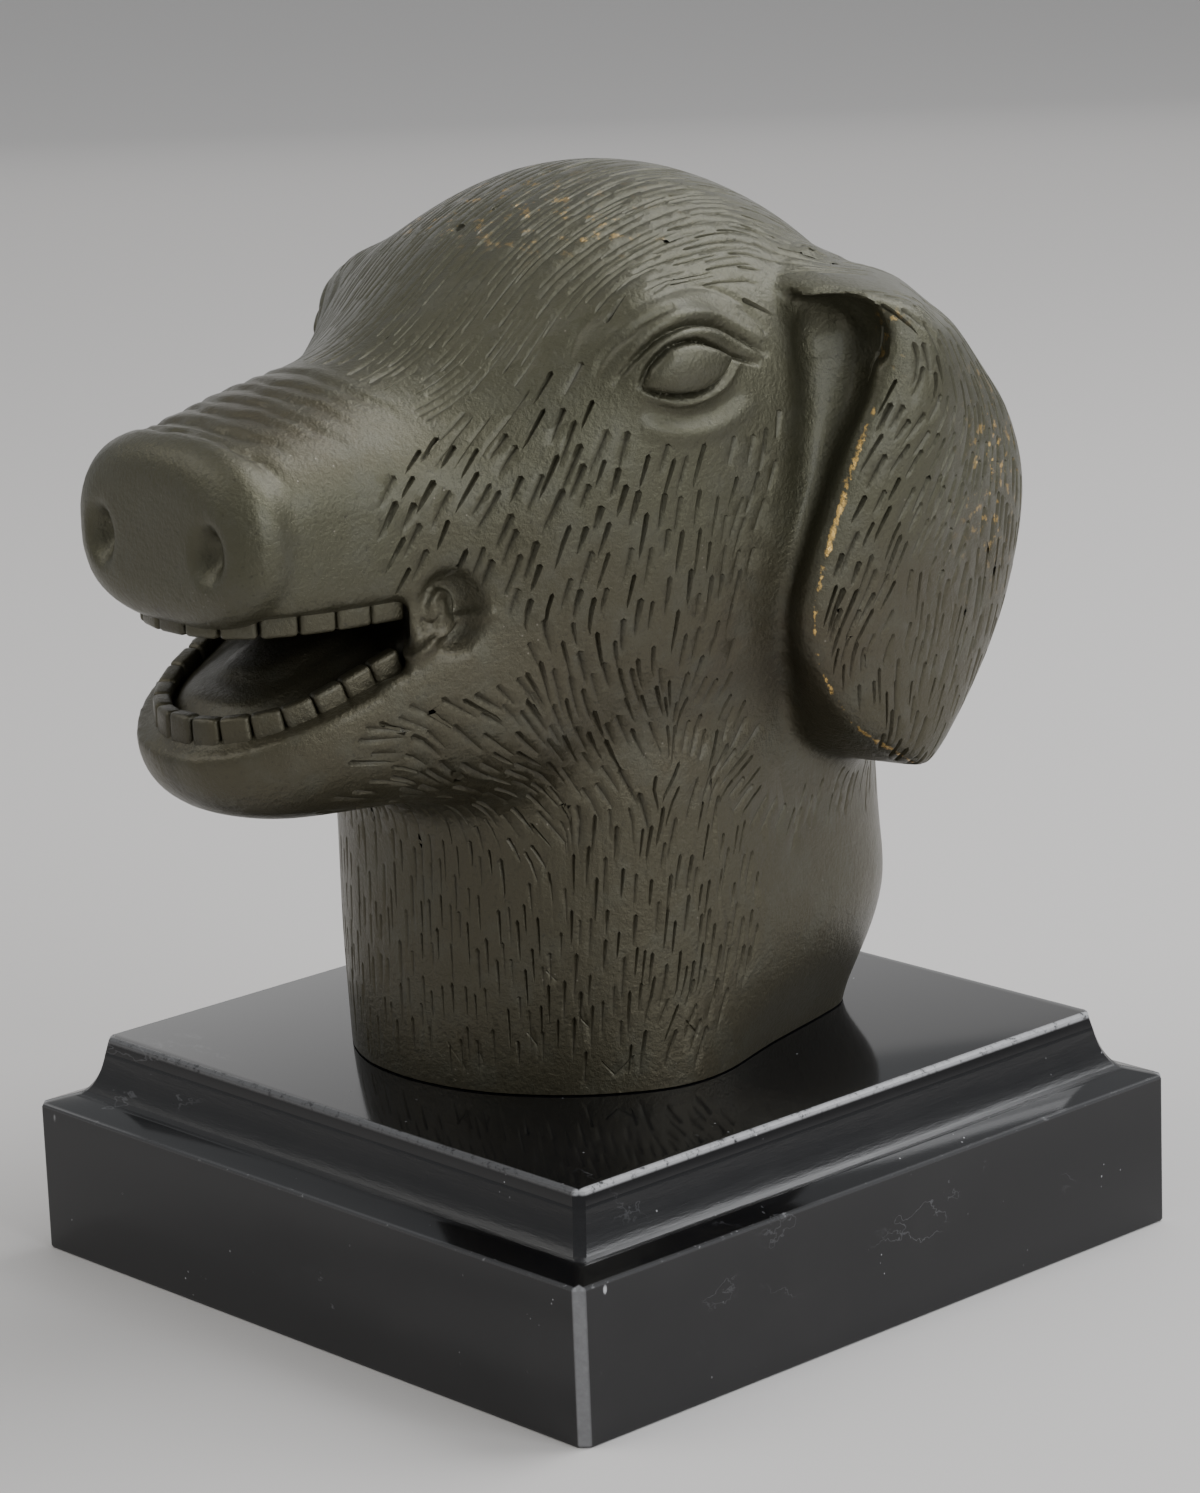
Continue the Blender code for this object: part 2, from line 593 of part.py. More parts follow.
def square_ring(inset, height):
    """The plinth's outline at one height: a square with its corners planed off."""
    edge = PLINTH_SIDE / 2 - inset
    near = edge - CORNER_CHAMFER
    quarter = [(edge, -near), (edge, near)]
    ring = []
    for turn in range(4):
        c, s = math.cos(turn * math.pi / 2), math.sin(turn * math.pi / 2)
        ring += [(x * c - y * s, x * s + y * c, height) for x, y in quarter]
    return ring


def cove_profile():
    """The hollow moulding between ledge and fillet, as (inset, height) pairs."""
    foot = np.array((LEDGE_WIDTH, SLAB_HEIGHT + LEDGE_RISE))
    head = np.array((STEP_INSET - FILLET_BATTER, PLINTH_TOP - FILLET_HEIGHT))
    bend = foot + (head - foot) * (0.69, 0.23)
    return [foot * (1 - t) ** 2 + bend * 2 * t * (1 - t) + head * t * t for t in np.linspace(0, 1, 9)]


def plinth():
    profile = [
        (SLAB_ARRIS, 0.0), (0.0, SLAB_ARRIS), (0.0, SLAB_HEIGHT - SLAB_ARRIS),
        (0.3 * SLAB_ARRIS, SLAB_HEIGHT - 0.3 * SLAB_ARRIS), (SLAB_ARRIS, SLAB_HEIGHT),
        *cove_profile(),
        (STEP_INSET, PLINTH_TOP - STEP_ARRIS),
        (STEP_INSET + 0.3 * STEP_ARRIS, PLINTH_TOP - 0.3 * STEP_ARRIS),
        (STEP_INSET + STEP_ARRIS, PLINTH_TOP),
    ]
    shape = bmesh.new()
    add_loft(shape, [square_ring(inset, height) for inset, height in profile])
    made = link("plinth", shape)
    made.data.materials.append(material("black_marble", (0.012, 0.012, 0.013), 0.0, 0.12))
    return made


def main():
    for old in list(bpy.data.objects):
        bpy.data.objects.remove(old)
    plinth()
    pig_head()


main()
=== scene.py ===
"""A cast bronze pig head on a stepped plinth of black marble: its finish, its stage and its camera.

Laid out as an add-on, and run as a script. Lengths of the head are in its own grid of millimetres:
x across, y from the snout (minus) to the nape, z up from the neck's cut.
"""

import math
from collections import Counter
from contextlib import contextmanager

import bmesh
import bpy
import numpy as np
from bpy.props import FloatProperty, FloatVectorProperty, IntProperty, PointerProperty
from bpy.types import Operator, Panel, PropertyGroup
from mathutils import Matrix, Vector
from mathutils.bvhtree import BVHTree


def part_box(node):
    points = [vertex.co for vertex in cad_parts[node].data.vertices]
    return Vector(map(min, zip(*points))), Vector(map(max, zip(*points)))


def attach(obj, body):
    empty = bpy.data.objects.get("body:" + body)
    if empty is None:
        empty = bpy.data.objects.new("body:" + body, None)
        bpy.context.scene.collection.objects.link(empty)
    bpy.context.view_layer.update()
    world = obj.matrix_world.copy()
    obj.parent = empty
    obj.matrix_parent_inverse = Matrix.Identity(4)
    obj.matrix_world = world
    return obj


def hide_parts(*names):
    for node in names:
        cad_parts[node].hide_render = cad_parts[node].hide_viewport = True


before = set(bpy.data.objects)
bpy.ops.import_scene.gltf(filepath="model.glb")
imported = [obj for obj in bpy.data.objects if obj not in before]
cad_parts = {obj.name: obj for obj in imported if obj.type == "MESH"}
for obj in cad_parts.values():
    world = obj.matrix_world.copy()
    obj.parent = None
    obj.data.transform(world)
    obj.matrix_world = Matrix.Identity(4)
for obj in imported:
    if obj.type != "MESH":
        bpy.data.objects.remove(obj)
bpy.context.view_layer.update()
head_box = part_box("pig_head")
plinth_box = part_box("plinth")

bl_info = {
    "name": "Bronze pig head",
    "version": (1, 0, 0),
    "blender": (4, 5, 0),
    "location": "3D View > Sidebar > Pig head",
    "description": "Builds a cast bronze pig head on a black marble plinth",
    "category": "Add Mesh",
}

HEAD_FOOT = head_box[0].z
# Height of the head in its own grid, and the length of one step of the grid in metres.
GRID_HEIGHT = 160.5
UNIT = (head_box[1].z - HEAD_FOOT) / GRID_HEIGHT
PLINTH_SIDE = plinth_box[1].x - plinth_box[0].x
PLINTH_TOP = plinth_box[1].z

RING_POINTS = 64
CURVE_STEPS = 16
# Size of the skin's cells, and how often it is smoothed, for the soft body and for the fine skin.
BODY_GRAIN = 2.4
BODY_SMOOTHING = 14
FINE_GRAIN = 0.9
FINE_SMOOTHING = 2
# The finer skin is a little fuller than the solid, and this keeps it inside the solid's box.
HEAD_FIT = 0.9982
# Triangles before the strokes are cut, and at the end.
SKIN_TRIANGLES = 78000
HEAD_TRIANGLES = 186000
# A loose shell with fewer faces is a crumb that the cutting left.
CRUMB_FACES = 100

# The plinth's moulding, in metres.
SLAB_HEIGHT = 0.0288
STEP_INSET = 0.0094
LEDGE_WIDTH = 0.0054
LEDGE_RISE = 0.0016
FILLET_HEIGHT = 0.0032
FILLET_BATTER = 0.0005
SLAB_ARRIS = 0.0006
STEP_ARRIS = 0.0009
CORNER_CHAMFER = 0.0016
# Where its finish changes: how far in from the faces the worn edges run, the band worn along the
# upright corners, the cove's foot, head and reach, and how far out the step edge's painted highlight starts.
EDGE_INSET = 0.0003
CORNER_BAND = (0.0019, 0.0014)
COVE_FOOT = 0.0303
COVE_HEAD = 0.0382
COVE_REACH = 0.0702
LIT_SIDE = 0.064

# Skull and upper snout, by y: half width, top, widest height, bottom, roundness above, below.
SKULL = [
    (-90, 24.4, 126.4, 110.6, 86, 2.3, 4),
    (-80, 24.4, 129, 111, 86, 2.2, 4),
    (-68, 26.4, 132, 110, 86, 2.1, 4),
    (-58, 29, 133.8, 108, 84, 1.9, 3.6),
    (-49, 33.2, 136.6, 106, 66, 1.8, 2.8),
    (-39, 38.4, 143, 108, 52, 1.75, 2.6),
    (-26, 43.4, 151.4, 112, 48, 2.1, 2.5),
    (-12, 46.6, 157.4, 113, 46, 2.15, 2.5),
    (3, 48, 160.9, 112, 46, 2.15, 2.5),
    (18, 48, 159.6, 111, 47, 2.1, 2.5),
    (32, 46, 154, 109, 48, 2.1, 2.5),
    (44, 42, 146.4, 106, 48, 2, 2.4),
    (54, 36.6, 138, 101, 48, 2, 2.2),
    (62, 28, 126, 95, 52, 2, 2),
    (66.5, 17, 113, 92, 60, 2, 2),
    (68.5, 6, 101, 90, 76, 2, 2),
]

# The flat end of the snout, by y: half width and half height.
DISC = [
    (-97.2, 14, 9.6), (-96.8, 18.6, 12.6), (-95.4, 22, 15), (-92.8, 24.4, 16.6),
    (-89.6, 25.2, 17), (-86.2, 24.2, 16.2), (-81, 21, 14),
]
DISC_MIDDLE = 110.0

# Lower jaw, by y: half width, rim height, widest height, bottom, roundness above, below.
JAW = [
    (-96.4, 7, 72, 70, 66, 3, 2),
    (-94.2, 12.2, 79, 72, 63.2, 3, 2.2),
    (-91, 16.6, 80, 73, 60.6, 3.5, 2.3),
    (-86, 21.4, 81, 75, 58.4, 3.5, 2.4),
    (-79, 25, 84, 77, 56.9, 3.5, 2.5),
    (-70, 27.4, 88, 79, 56.3, 3.5, 2.6),
    (-60, 30.4, 94, 81, 55.8, 3.5, 2.7),
    (-50, 33.2, 100, 82, 54.6, 3.5, 2.7),
    (-40, 36, 100, 82, 52, 3, 2.7),
    (-28, 36, 96, 80, 56, 3, 2.7),
]

# The neck's half outline from the throat round to the nape: at its full girth under the head,
# and at the cut, where its sides are pared away towards the back.
NECK_FULL = [
    (0, -43.8), (13, -42), (25, -35.8), (34, -26), (39.2, -13), (40.4, 2),
    (39.8, 17), (37.4, 32), (31, 46), (18, 57.5), (0, 60.5),
]
NECK_FOOT = [
    (0, -43.8), (12.5, -41.8), (24.5, -35.2), (33.8, -25.8), (40.2, -13.5), (38.4, -1.5),
    (34.6, 8), (31.8, 18), (28.8, 29.5), (23.8, 41.8), (0, 50),
]
# How far the neck has swelled from its foot to its full girth, by height.
NECK_SWELL = [(-8, 0), (0, 0), (8, 0.42), (16, 0.8), (24, 1), (34, 0.9), (62, 0.8)]
# The casting is a little fuller on its right, towards the front.
NECK_LEAN = 3.1
LEAN_WAY = (-0.683, -0.730)

# The ear, by height: front edge, outermost swell, rear corner, heel, and root of the front edge.
EAR = [
    (145.5, (32, 18), (33, 22.5), (29, 27), (22, 34), (28, 20)),
    (142.6, (37, 15), (40.5, 21), (35.5, 30.5), (26, 39), (32, 18)),
    (140.6, (42, 13.4), (48, 21.5), (40.5, 35), (29, 43), (37, 15)),
    (138.6, (48.6, 15.6), (53.4, 25.5), (43.2, 39), (32, 47), (43, 17)),
    (136.4, (53, 21.4), (56.4, 30), (45, 42), (33, 51), (47, 23.5)),
    (133, (55, 23.4), (58, 33), (47, 45.2), (35, 54), (49, 26)),
    (129.5, (56, 23.4), (59.6, 34), (49, 49), (36, 57), (50, 26.6)),
    (121, (56.6, 20.4), (60.8, 34.5), (51.2, 54), (38, 61), (50, 23)),
    (113, (56.6, 15.6), (61, 33), (52, 58.8), (39, 66), (50, 17.4)),
    (103, (56.2, 11.2), (60.6, 31), (52.4, 61.8), (40, 68), (49, 12.4)),
    (94, (55.6, 7.7), (60, 29), (52.6, 61.6), (41, 67), (48, 8.4)),
    (86, (55, 5.6), (59.2, 28), (52.6, 59.8), (41, 64), (46, 6.6)),
    (79, (54.6, 5.8), (58.6, 28), (52.6, 57.4), (41.5, 61), (44.5, 8)),
    (72.5, (54, 8.6), (57.6, 29.5), (52.6, 54.2), (42, 58), (43, 10.4)),
    (66, (53.6, 13), (56.6, 31.5), (52.6, 50), (42.5, 54), (42, 12.6)),
    (60.5, (53.2, 18.8), (55.8, 33.5), (52.4, 46), (43.5, 49.5), (42, 14.6)),
    (56, (52.8, 25.8), (54.6, 35), (52, 42.4), (44.5, 45.5), (42, 19.6)),
    (52.6, (52.2, 31.4), (53, 35.6), (51.4, 39.6), (46, 41.5), (42.5, 26.5)),
    (50.8, (51.2, 34.5), (51.8, 36), (50.8, 37.6), (47.5, 38.2), (44.5, 34)),
]
EAR_ROOT_DEPTH = 34.0
EAR_FILLET = 4.5

# The hollow before the ear, by height: its middle and half width along y, and its floor's x.
CONCH = [
    (139.4, 16.6, 2.4, 47), (138.6, 17, 4.8, 44), (136.4, 17.8, 7, 42), (132, 18.4, 8.2, 41.2),
    (127, 17.8, 8, 42.2), (121, 16.2, 7.4, 44), (114, 13.4, 6.2, 45.6), (105, 10.2, 4.8, 47),
    (96, 7.6, 3.6, 47.6), (89, 6.4, 2.4, 48),
]
# Below this height the hollow has soft sides; above it they are crisp.
CONCH_LIP = 126.0
CONCH_MIDDLE = 50.5

# The lips: the lower rim climbs from the chin to the corner, the upper one is level.
LOWER_RIM = [
    (-104, 71), (-97, 71), (-91, 73.4), (-86, 75.4), (-79, 78.2), (-70, 81.4),
    (-63.6, 84.4),
]
UPPER_LIP = 96.6
MOUTH_HALF = 50.0
# Centre and radii of the left one of each pair: brow, pocket behind the mouth, boss in the pocket.
BROW = (30.4, -13, 131.4), (17.6, 16, 15.4)
POCKET = (33, -57.2, 93.8), (9, 6.6, 8)
BOSS = (25.4, -57.6, 92.6), (3.2, 3, 4.4)
# The bowl inside the teeth: how far in it starts, and its share of that plan by depth under the rim.
CAVITY_INSET = 6.6
CAVITY_BACK = 25.4
CAVITY_BOWL = [(0.1, 7.5), (0.5, 7.2), (0.8, 5.6), (0.95, 2.6), (1, -2), (1, -30)]

# Plan of the lower rim, from the chin to the corner.
RIM_PLAN = [
    (0, -96.6), (5, -96), (9.6, -94.4), (14.6, -91.2), (19.4, -86), (22.9, -79.5),
    (25.1, -71), (26.8, -64),
]
LOWER_TOOTH_TOP = [
    (-95, 78.6), (-91.5, 77.9), (-84, 79.6), (-80.5, 80.9), (-73, 83.7), (-63, 87.6),
]
LOWER_TOOTH_FOOT = [
    (-95, 75), (-91.5, 74.4), (-84, 76.4), (-77, 78.8), (-71, 81.2), (-63, 84.6),
]
UPPER_ROW = [
    (0, -92.8), (5.5, -92.2), (11, -90), (15.6, -85.6), (18.8, -79.4), (21, -72), (22.8, -62.2),
]
UPPER_TOOTH_TIP = 92.2
UPPER_TEETH = 13
# The tongue, by y: half width and top.
TONGUE = [
    (-88, 5, 78), (-86.4, 9, 79.6), (-80, 13, 81.6), (-70, 15, 84.6), (-59, 15.6, 88),
    (-46, 15.6, 90),
]
TONGUE_RIDGE = [
    (-81, 3, 81), (-79.4, 6.4, 83.6), (-72, 8.4, 86.2), (-60, 9.4, 89.6), (-46, 9.4, 91.6),
]
TOOTH_PITCH = 5.3
TOOTH_DEPTH = 3.2
TOOTH_ROUNDING = 0.85

# The left nostril's place across and up, its half sizes, depth and the y that it starts at.
NOSTRIL = (14.6, 108.2)
NOSTRIL_SIZE = (3, 4.2)
NOSTRIL_DEPTH = 4.0
NOSTRIL_BACK = -88.0
# The eye's lines: half width, depth (a ridge where minus), and points as (y, z) on the cheek.
EYE_LINES = [
    (0.52, 1.5, [
        (-26.6, 128.6), (-24, 132.8), (-19.4, 136.8), (-12.7, 138.3), (-5.5, 136.9), (0.1, 133.8),
        (5.6, 130),
    ]),
    (0.9, -0.45, [(-24.6, 134.4), (-19.9, 138.3), (-12.6, 139.9), (-4.9, 138.5), (1.2, 135.2), (6.4, 131.6)]),
    (0.9, -0.35, [(-22.2, 132.6), (-18.6, 135.9), (-12.8, 136.7), (-6.6, 135.2), (-0.4, 132), (3.6, 130)]),
    (0.48, 1.4, [
        (-23.4, 127.9), (-21.8, 131.9), (-18.3, 135), (-13.2, 135.4), (-8.4, 133.8), (-3.1, 131.2),
        (3.4, 128.8),
    ]),
    (0.42, 1.2, [(-23, 128.3), (-20.4, 127), (-16.6, 126.3), (-12.2, 126.3), (-7.5, 127.8), (-3.4, 130.8)]),
    (0.6, -0.6, [(-23.6, 127.4), (-17.4, 124.9), (-12, 124.9), (-6.1, 126.6), (-2.4, 129.2), (-0.6, 129.6)]),
    (1.5, 1, [(-23.4, 124.9), (-16.4, 122.3), (-9.6, 122.4), (-2.4, 125)]),
    (1.7, -0.7, [(-23.6, 121.4), (-16, 119.4), (-8.4, 119.6), (0.6, 122.9)]),
    (0.5, 0.7, [(-28.8, 130.2), (-25.8, 135), (-20.7, 139.3), (-13.9, 141.3)]),
    (0.6, 0.4, [(-26.8, 136.8), (-18.9, 142.2), (-6.5, 143.2), (1.9, 140.4), (6.4, 135.2)]),
    (0.45, 0.4, [(-31, 133), (-27.2, 138.4), (-21.4, 142.2)]),
    (0.4, 0.35, [(2.4, 138.8), (5, 136.2), (6.6, 133.6)]),
]
# The eyeball's outline, as (y, z) from corner to corner.
EYE_UPPER = [(-22.9, 128.3), (-21.6, 131.8), (-18.2, 134.8), (-13.2, 135.2), (-8.4, 133.6), (-3.4, 131.2)]
EYE_LOWER = [(-22.9, 128.2), (-20.2, 127.1), (-16.6, 126.5), (-12.2, 126.5), (-7.6, 128), (-3.4, 131)]
EYE_MIDDLE = (-11.6, 131)
EYE_BULGE = 1.7
EYE_INNER_LIMIT = 25.0
EYE_REACH = 26.0
# Parts of the cheek as ovals: middle as (y, z), and half sizes.
EYE_FINE = EYE_MIDDLE, (21, 14.5)
EYE_BARE = (-10.5, 130.5), (19, 12.5)
POCKET_FINE = (-57.5, 91.5), (11, 11)
POCKET_BARE = (-57.5, 92), (11.5, 11.5)
# Other lines on the cheek: the lip that runs on under the pocket, and the curl of skin in it.
CHEEK_LINES = [
    (0.95, -1.3, [(-70.6, 80.8), (-66, 84), (-61.8, 87.4), (-57, 89.8), (-52.6, 91.4), (-49, 92.4)]),
    (0.6, -0.8, [(-60, 94), (-57.4, 96.2), (-54.6, 95.2), (-54.2, 92.8), (-56.4, 91.4)]),
    (0.5, 0.5, [(-61.4, 92.4), (-59.2, 91.4), (-57.6, 93.2)]),
]
# The folds across the snout, by y.
WRINKLES = [-90.8, -86.2, -81.4, -77.2, -72.6, -68.8, -64]
# The inner side of the teeth, by y.
INNER_SIDE = [(-97, 4), (-91, 13), (-86, 17.6), (-79, 21), (-70, 24.2), (-62, 26.4), (-49, 26.4)]

# How the hair lies: a place on the head's left, and the lean of its strokes there from straight down
# towards the nape, in degrees.
LAY = [
    (26, -67, 112, -36), (25, -58, 120, -48), (29, -50, 117, -42), (30, -43, 123, -51), (36, -41, 115, -34),
    (33, -35, 128, -44), (36, -35, 123, -29), (40, -31, 120, -35), (42, -27, 117, -21), (45, -20, 116, -23),
    (31, -51, 112, -43), (38, -39, 111, -36), (42, -31, 108, -23), (30, -56, 107, -28), (33, -49, 101, -28),
    (38, -40, 102, -23), (44, -21, 105, -12), (47, -2, 105, -25), (48, 5, 101, -27), (46, -11, 102, -9),
    (47, 4, 120, -16), (45, -13, 94, -5), (46, 2, 89, -10), (44, 2, 78, -7), (36, -40, 80, 14),
    (37, -23, 67, 26),
    (58, 22, 121, -40), (60, 24, 116, -48), (60, 22, 103, -36), (60, 29, 102, -33), (58, 15, 101, -38),
    (59, 17, 96, -23), (59, 35, 93, -35), (56, 50, 90, -8), (59, 20, 85, -35), (55, 45, 69, -21),
    (56, 17, 69, 9), (59, 28, 86, -5), (58, 37, 129, 12), (50, 44, 128, 20),
    (1, -40, 142, 124), (9, -34, 145, 125), (19, -35, 140, 126), (9, -10, 157, 103), (25, -10, 152, 101),
    (35, -4, 146, 91), (25, -20, 147, 111), (29, -41, 127, 123), (42, -21, 136, 132), (43, 4, 136, 52),
    (53, 24, 137, 44), (20, -54, 128, 101), (36, 22, 146, 46), (10, 20, 158, 84), (8, 45, 146, 50),
    (20, 60, 120, 15), (0, 66, 110, 8), (36, 40, 100, 4), (30, 50, 70, -6), (0, 62, 60, -4),
    (31, -58, 78, 57), (27, -70, 78, 59), (33, -49, 78, 42), (34, -46, 77, 35), (32, -53, 76, 60),
    (26, -71, 73, 88), (29, -59, 71, 42), (28, -48, 63, 58), (33, -28, 58, 38), (35, -23, 58, 28),
    (37, -19, 55, 18), (38, -16, 56, -36), (40, -5, 67, -22), (40, 3, 56, -58), (40, 12, 58, -45),
    (32, -28, 49, -11), (38, -16, 48, -17), (40, -6, 45, -14), (36, -21, 42, -8), (33, -27, 25, -8),
    (38, -16, 25, -9), (18, -40, 25, 3), (11, -43, 38, 1), (34, -25, 15, -5), (38, -16, 15, -28),
    (19, -42, 36, 3), (38, 26, 47, -26), (19, -53, 57, 59), (25, -36, 51, 52), (0, -60, 56, 88),
]
# How much less the ear's rim is worn, by height.
RIM_WEAR = [(50, 0.1), (62, 0), (92, -0.02), (97, -0.25), (115, -0.25), (121, 0.5), (140, 0.5)]
# Kinds of stroke: length, width, depth, and half the room that each takes across and along.
STROKES = {
    "cheek": (7.9, 1.25, 0.62, 2.3, 6.2),
    "side": (8, 0.95, 0.45, 2.1, 6.2),
    "ear": (8, 1.1, 0.56, 1.75, 5.2),
    "lobe": (7.6, 0.8, 0.42, 1.7, 5.6),
    "jaw": (9, 1.3, 0.55, 1.75, 5.6),
    "neck": (8.4, 0.8, 0.4, 1.65, 5.8),
    "crown": (15, 0.66, 0.24, 1.35, 7),
    "scratch": (7, 0.5, 0.25, 1, 1),
}
# A stroke from its blunt upper end to its fading lower one: share of the length, width and depth.
STROKE_SHAPE = [(0, 0, 0), (0.08, 1, 1), (0.34, 0.92, 0.78), (0.72, 0.66, 0.46), (1, 0, 0)]
STROKE_TRIES = 26000
STROKE_LOTS = 7
STROKE_SEED = 11
# A cutter stands this far out of the skin, is at least this deep, and starts at this height over it.
STROKE_RISE = 0.22
STROKE_LEAST = 0.12
STROKE_TIP = 0.15
# A cutter is left out where the skin turns more than this, or hardly carries it on.
STROKE_BEND = 0.75
STROKE_ADVANCE = 0.6
# The painted shade in a cut is at its darkest from this depth on.
STROKE_SHADE_DEPTH = 0.5
SCRATCHES = [
    ((7.4, -43.5, 8.8), (12, -42.1, 2.8)), ((13.4, -41.9, 9), (15, -41, 4.6)),
    ((31.6, -28.4, 6.4), (33.6, -25.6, 2.4)), ((25.5, -35.1, 23.6), (27.4, -33.4, 20.8)),
    ((35, -23, 7), (32.6, -27, 2.6)), ((38.6, -14, 12), (38.9, -11, 8)),
    ((22, -37, 12), (24, -35.5, 8.4)), ((29, -31, 15), (30.6, -29, 12)),
]
# A small round pit in the crown, and its radius.
PIT = (-1.8, -23.9, 152.4)
PIT_SIZE = 1.3


class Value:
    """A socket of a material's tree that can be used in sums."""

    def __init__(self, tree, socket):
        self.tree = tree
        self.socket = socket

    def sum(self, operation, *others):
        return self.tree.add("ShaderNodeMath", [self, *others], operation=operation)

    def __add__(self, other):
        return self.sum("ADD", other)

    __radd__ = __add__

    def __sub__(self, other):
        return self.sum("SUBTRACT", other)

    def __rsub__(self, other):
        return self.tree.add("ShaderNodeMath", [other, self], operation="SUBTRACT")

    def __mul__(self, other):
        return self.sum("MULTIPLY", other)

    __rmul__ = __mul__

    def over(self, low, high):
        """Rises smoothly from 0 at low to 1 at high, or falls where low is the greater."""
        return self.tree.add("ShaderNodeMapRange", {"Value": self, "From Min": low, "From Max": high},
                             interpolation_type="SMOOTHSTEP")

    def within(self, low, high):
        """Held between low and high."""
        return self.sum("MAXIMUM", low).sum("MINIMUM", high)


class Finish:
    """A material and the one way in which its nodes are made."""

    def __init__(self, name):
        self.material = bpy.data.materials.new(name)
        self.material.use_nodes = True
        self.tree = self.material.node_tree
        self.shader = self.tree.nodes["Principled BSDF"]

    def put(self, socket, value):
        if isinstance(value, Value):
            self.tree.links.new(value.socket, socket)
        elif isinstance(value, (tuple, list)) and len(value) == 3 and socket.type == "RGBA":
            socket.default_value = (*value, 1.0)
        else:
            socket.default_value = value

    def add(self, kind, values=(), output=0, **settings):
        """Adds a node with its settings, then its sockets' values or links, and returns one output."""
        node = self.tree.nodes.new(kind)
        for key, setting in settings.items():
            setattr(node, key, setting)
        for key, value in values.items() if isinstance(values, dict) else enumerate(values):
            self.put(node.inputs[key], value)
        return Value(self, node.outputs[output])

    def place(self):
        return self.add("ShaderNodeTexCoord", output="Object")

    def stretched(self, scale, turn=(0.0, 0.0, 0.0)):
        """Object coordinates turned and scaled by the given numbers."""
        return self.add("ShaderNodeMapping", {"Vector": self.place(), "Rotation": turn, "Scale": scale})

    def noise(self, scale, detail=3.0, roughness=0.55, where=None):
        values = {"Vector": where or self.place(), "Scale": scale, "Detail": detail, "Roughness": roughness}
        return self.add("ShaderNodeTexNoise", values)

    def cells(self, scale, where=None):
        """Distance from the nearest of scattered points."""
        values = {"Vector": where or self.place(), "Scale": scale}
        return self.add("ShaderNodeTexVoronoi", values, output="Distance")

    def attribute(self, name):
        return self.add("ShaderNodeAttribute", output="Fac", attribute_name=name)

    def blend(self, share, first, second):
        """The first colour, or the second where the share is 1."""
        return self.add("ShaderNodeMix", {0: share, 6: first, 7: second}, output=2, data_type="RGBA")

    def bump(self, height, strength, distance, below=None):
        values = {"Height": height, "Strength": strength, "Distance": distance}
        if below is not None:
            values["Normal"] = below
        return self.add("ShaderNodeBump", values)

    def set(self, **values):
        """Feeds the shader's sockets, named in small letters, and returns the material."""
        for key, value in values.items():
            self.put(self.shader.inputs[key.replace("_", " ").title()], value)
        return self.material


def bronze(settings):
    """Dark olive patina with a satin wax, browner low down, painted shade in cuts and mouth, rubbed to gold
    on edges.
    """
    made = Finish("patinated bronze")
    broad = made.noise(22.0, 4.0)
    cloud = made.noise(120.0, 5.0, 0.65)
    grain = made.noise(1100.0, 5.0, 0.65)
    ragged = made.noise(420.0, 5.0, 0.7)
    # Depth of each point in a cut. It drives the painted shade in the cuts, their rougher finish, and keeps
    # gold out of them.
    cuts = made.attribute("stroke")
    warm = (made.attribute("warm") * 0.8 + broad.over(0.48, 0.75) * 0.4).within(0.0, 1.0)
    colour = made.blend(warm, tuple(settings.patina), tuple(settings.warm_patina))
    colour = made.blend(cloud.over(0.45, 0.7) * 0.5, colour, tuple(settings.grey_patina))
    colour = made.blend(grain.over(0.42, 0.28) * 0.5, colour, tuple(settings.pits_and_painted_shade))
    # Painted shade in the hair-stroke cuts, darker where they are deeper.
    colour = made.blend(cuts * (0.25 + 0.3 * cloud), colour, tuple(settings.pits_and_painted_shade))
    # Painted shade inside the mouth, behind the teeth.
    colour = made.blend(made.attribute("inner") * 0.3, colour, tuple(settings.pits_and_painted_shade))
    speck = made.cells(620.0).over(0.14, 0.05) * made.noise(75.0).over(0.58, 0.66)
    colour = made.blend(speck * 0.8, colour, (0.22, 0.20, 0.16))
    edge = made.attribute("edge") + (ragged - 0.5) * 2.4 + (broad - 0.5) * 1.2
    rubbed = made.attribute("rubbed") * ragged.over(0.55, 0.63) * made.noise(210.0, 3.0).over(0.5, 0.58)
    gold = (edge.over(0.42, 0.12) + rubbed * (1.0 - cuts)).within(0.0, 1.0)
    colour = made.blend(gold, colour, tuple(settings.worn_gold))
    rough = (0.37 + (cloud - 0.5) * 0.2 + cuts * 0.15 + (grain - 0.5) * 0.12 - gold * 0.1).within(0.25, 0.8)
    metal = (0.68 + gold * 0.3).within(0.0, 1.0)
    skin = made.bump(grain, 0.7, 0.0004)
    skin = made.bump(made.noise(260.0, 4.0, 0.6), 0.45, 0.0006, skin)
    return made.set(base_color=colour, metallic=metal, roughness=rough, normal=skin, coat_weight=0.22,
                    coat_roughness=0.32)


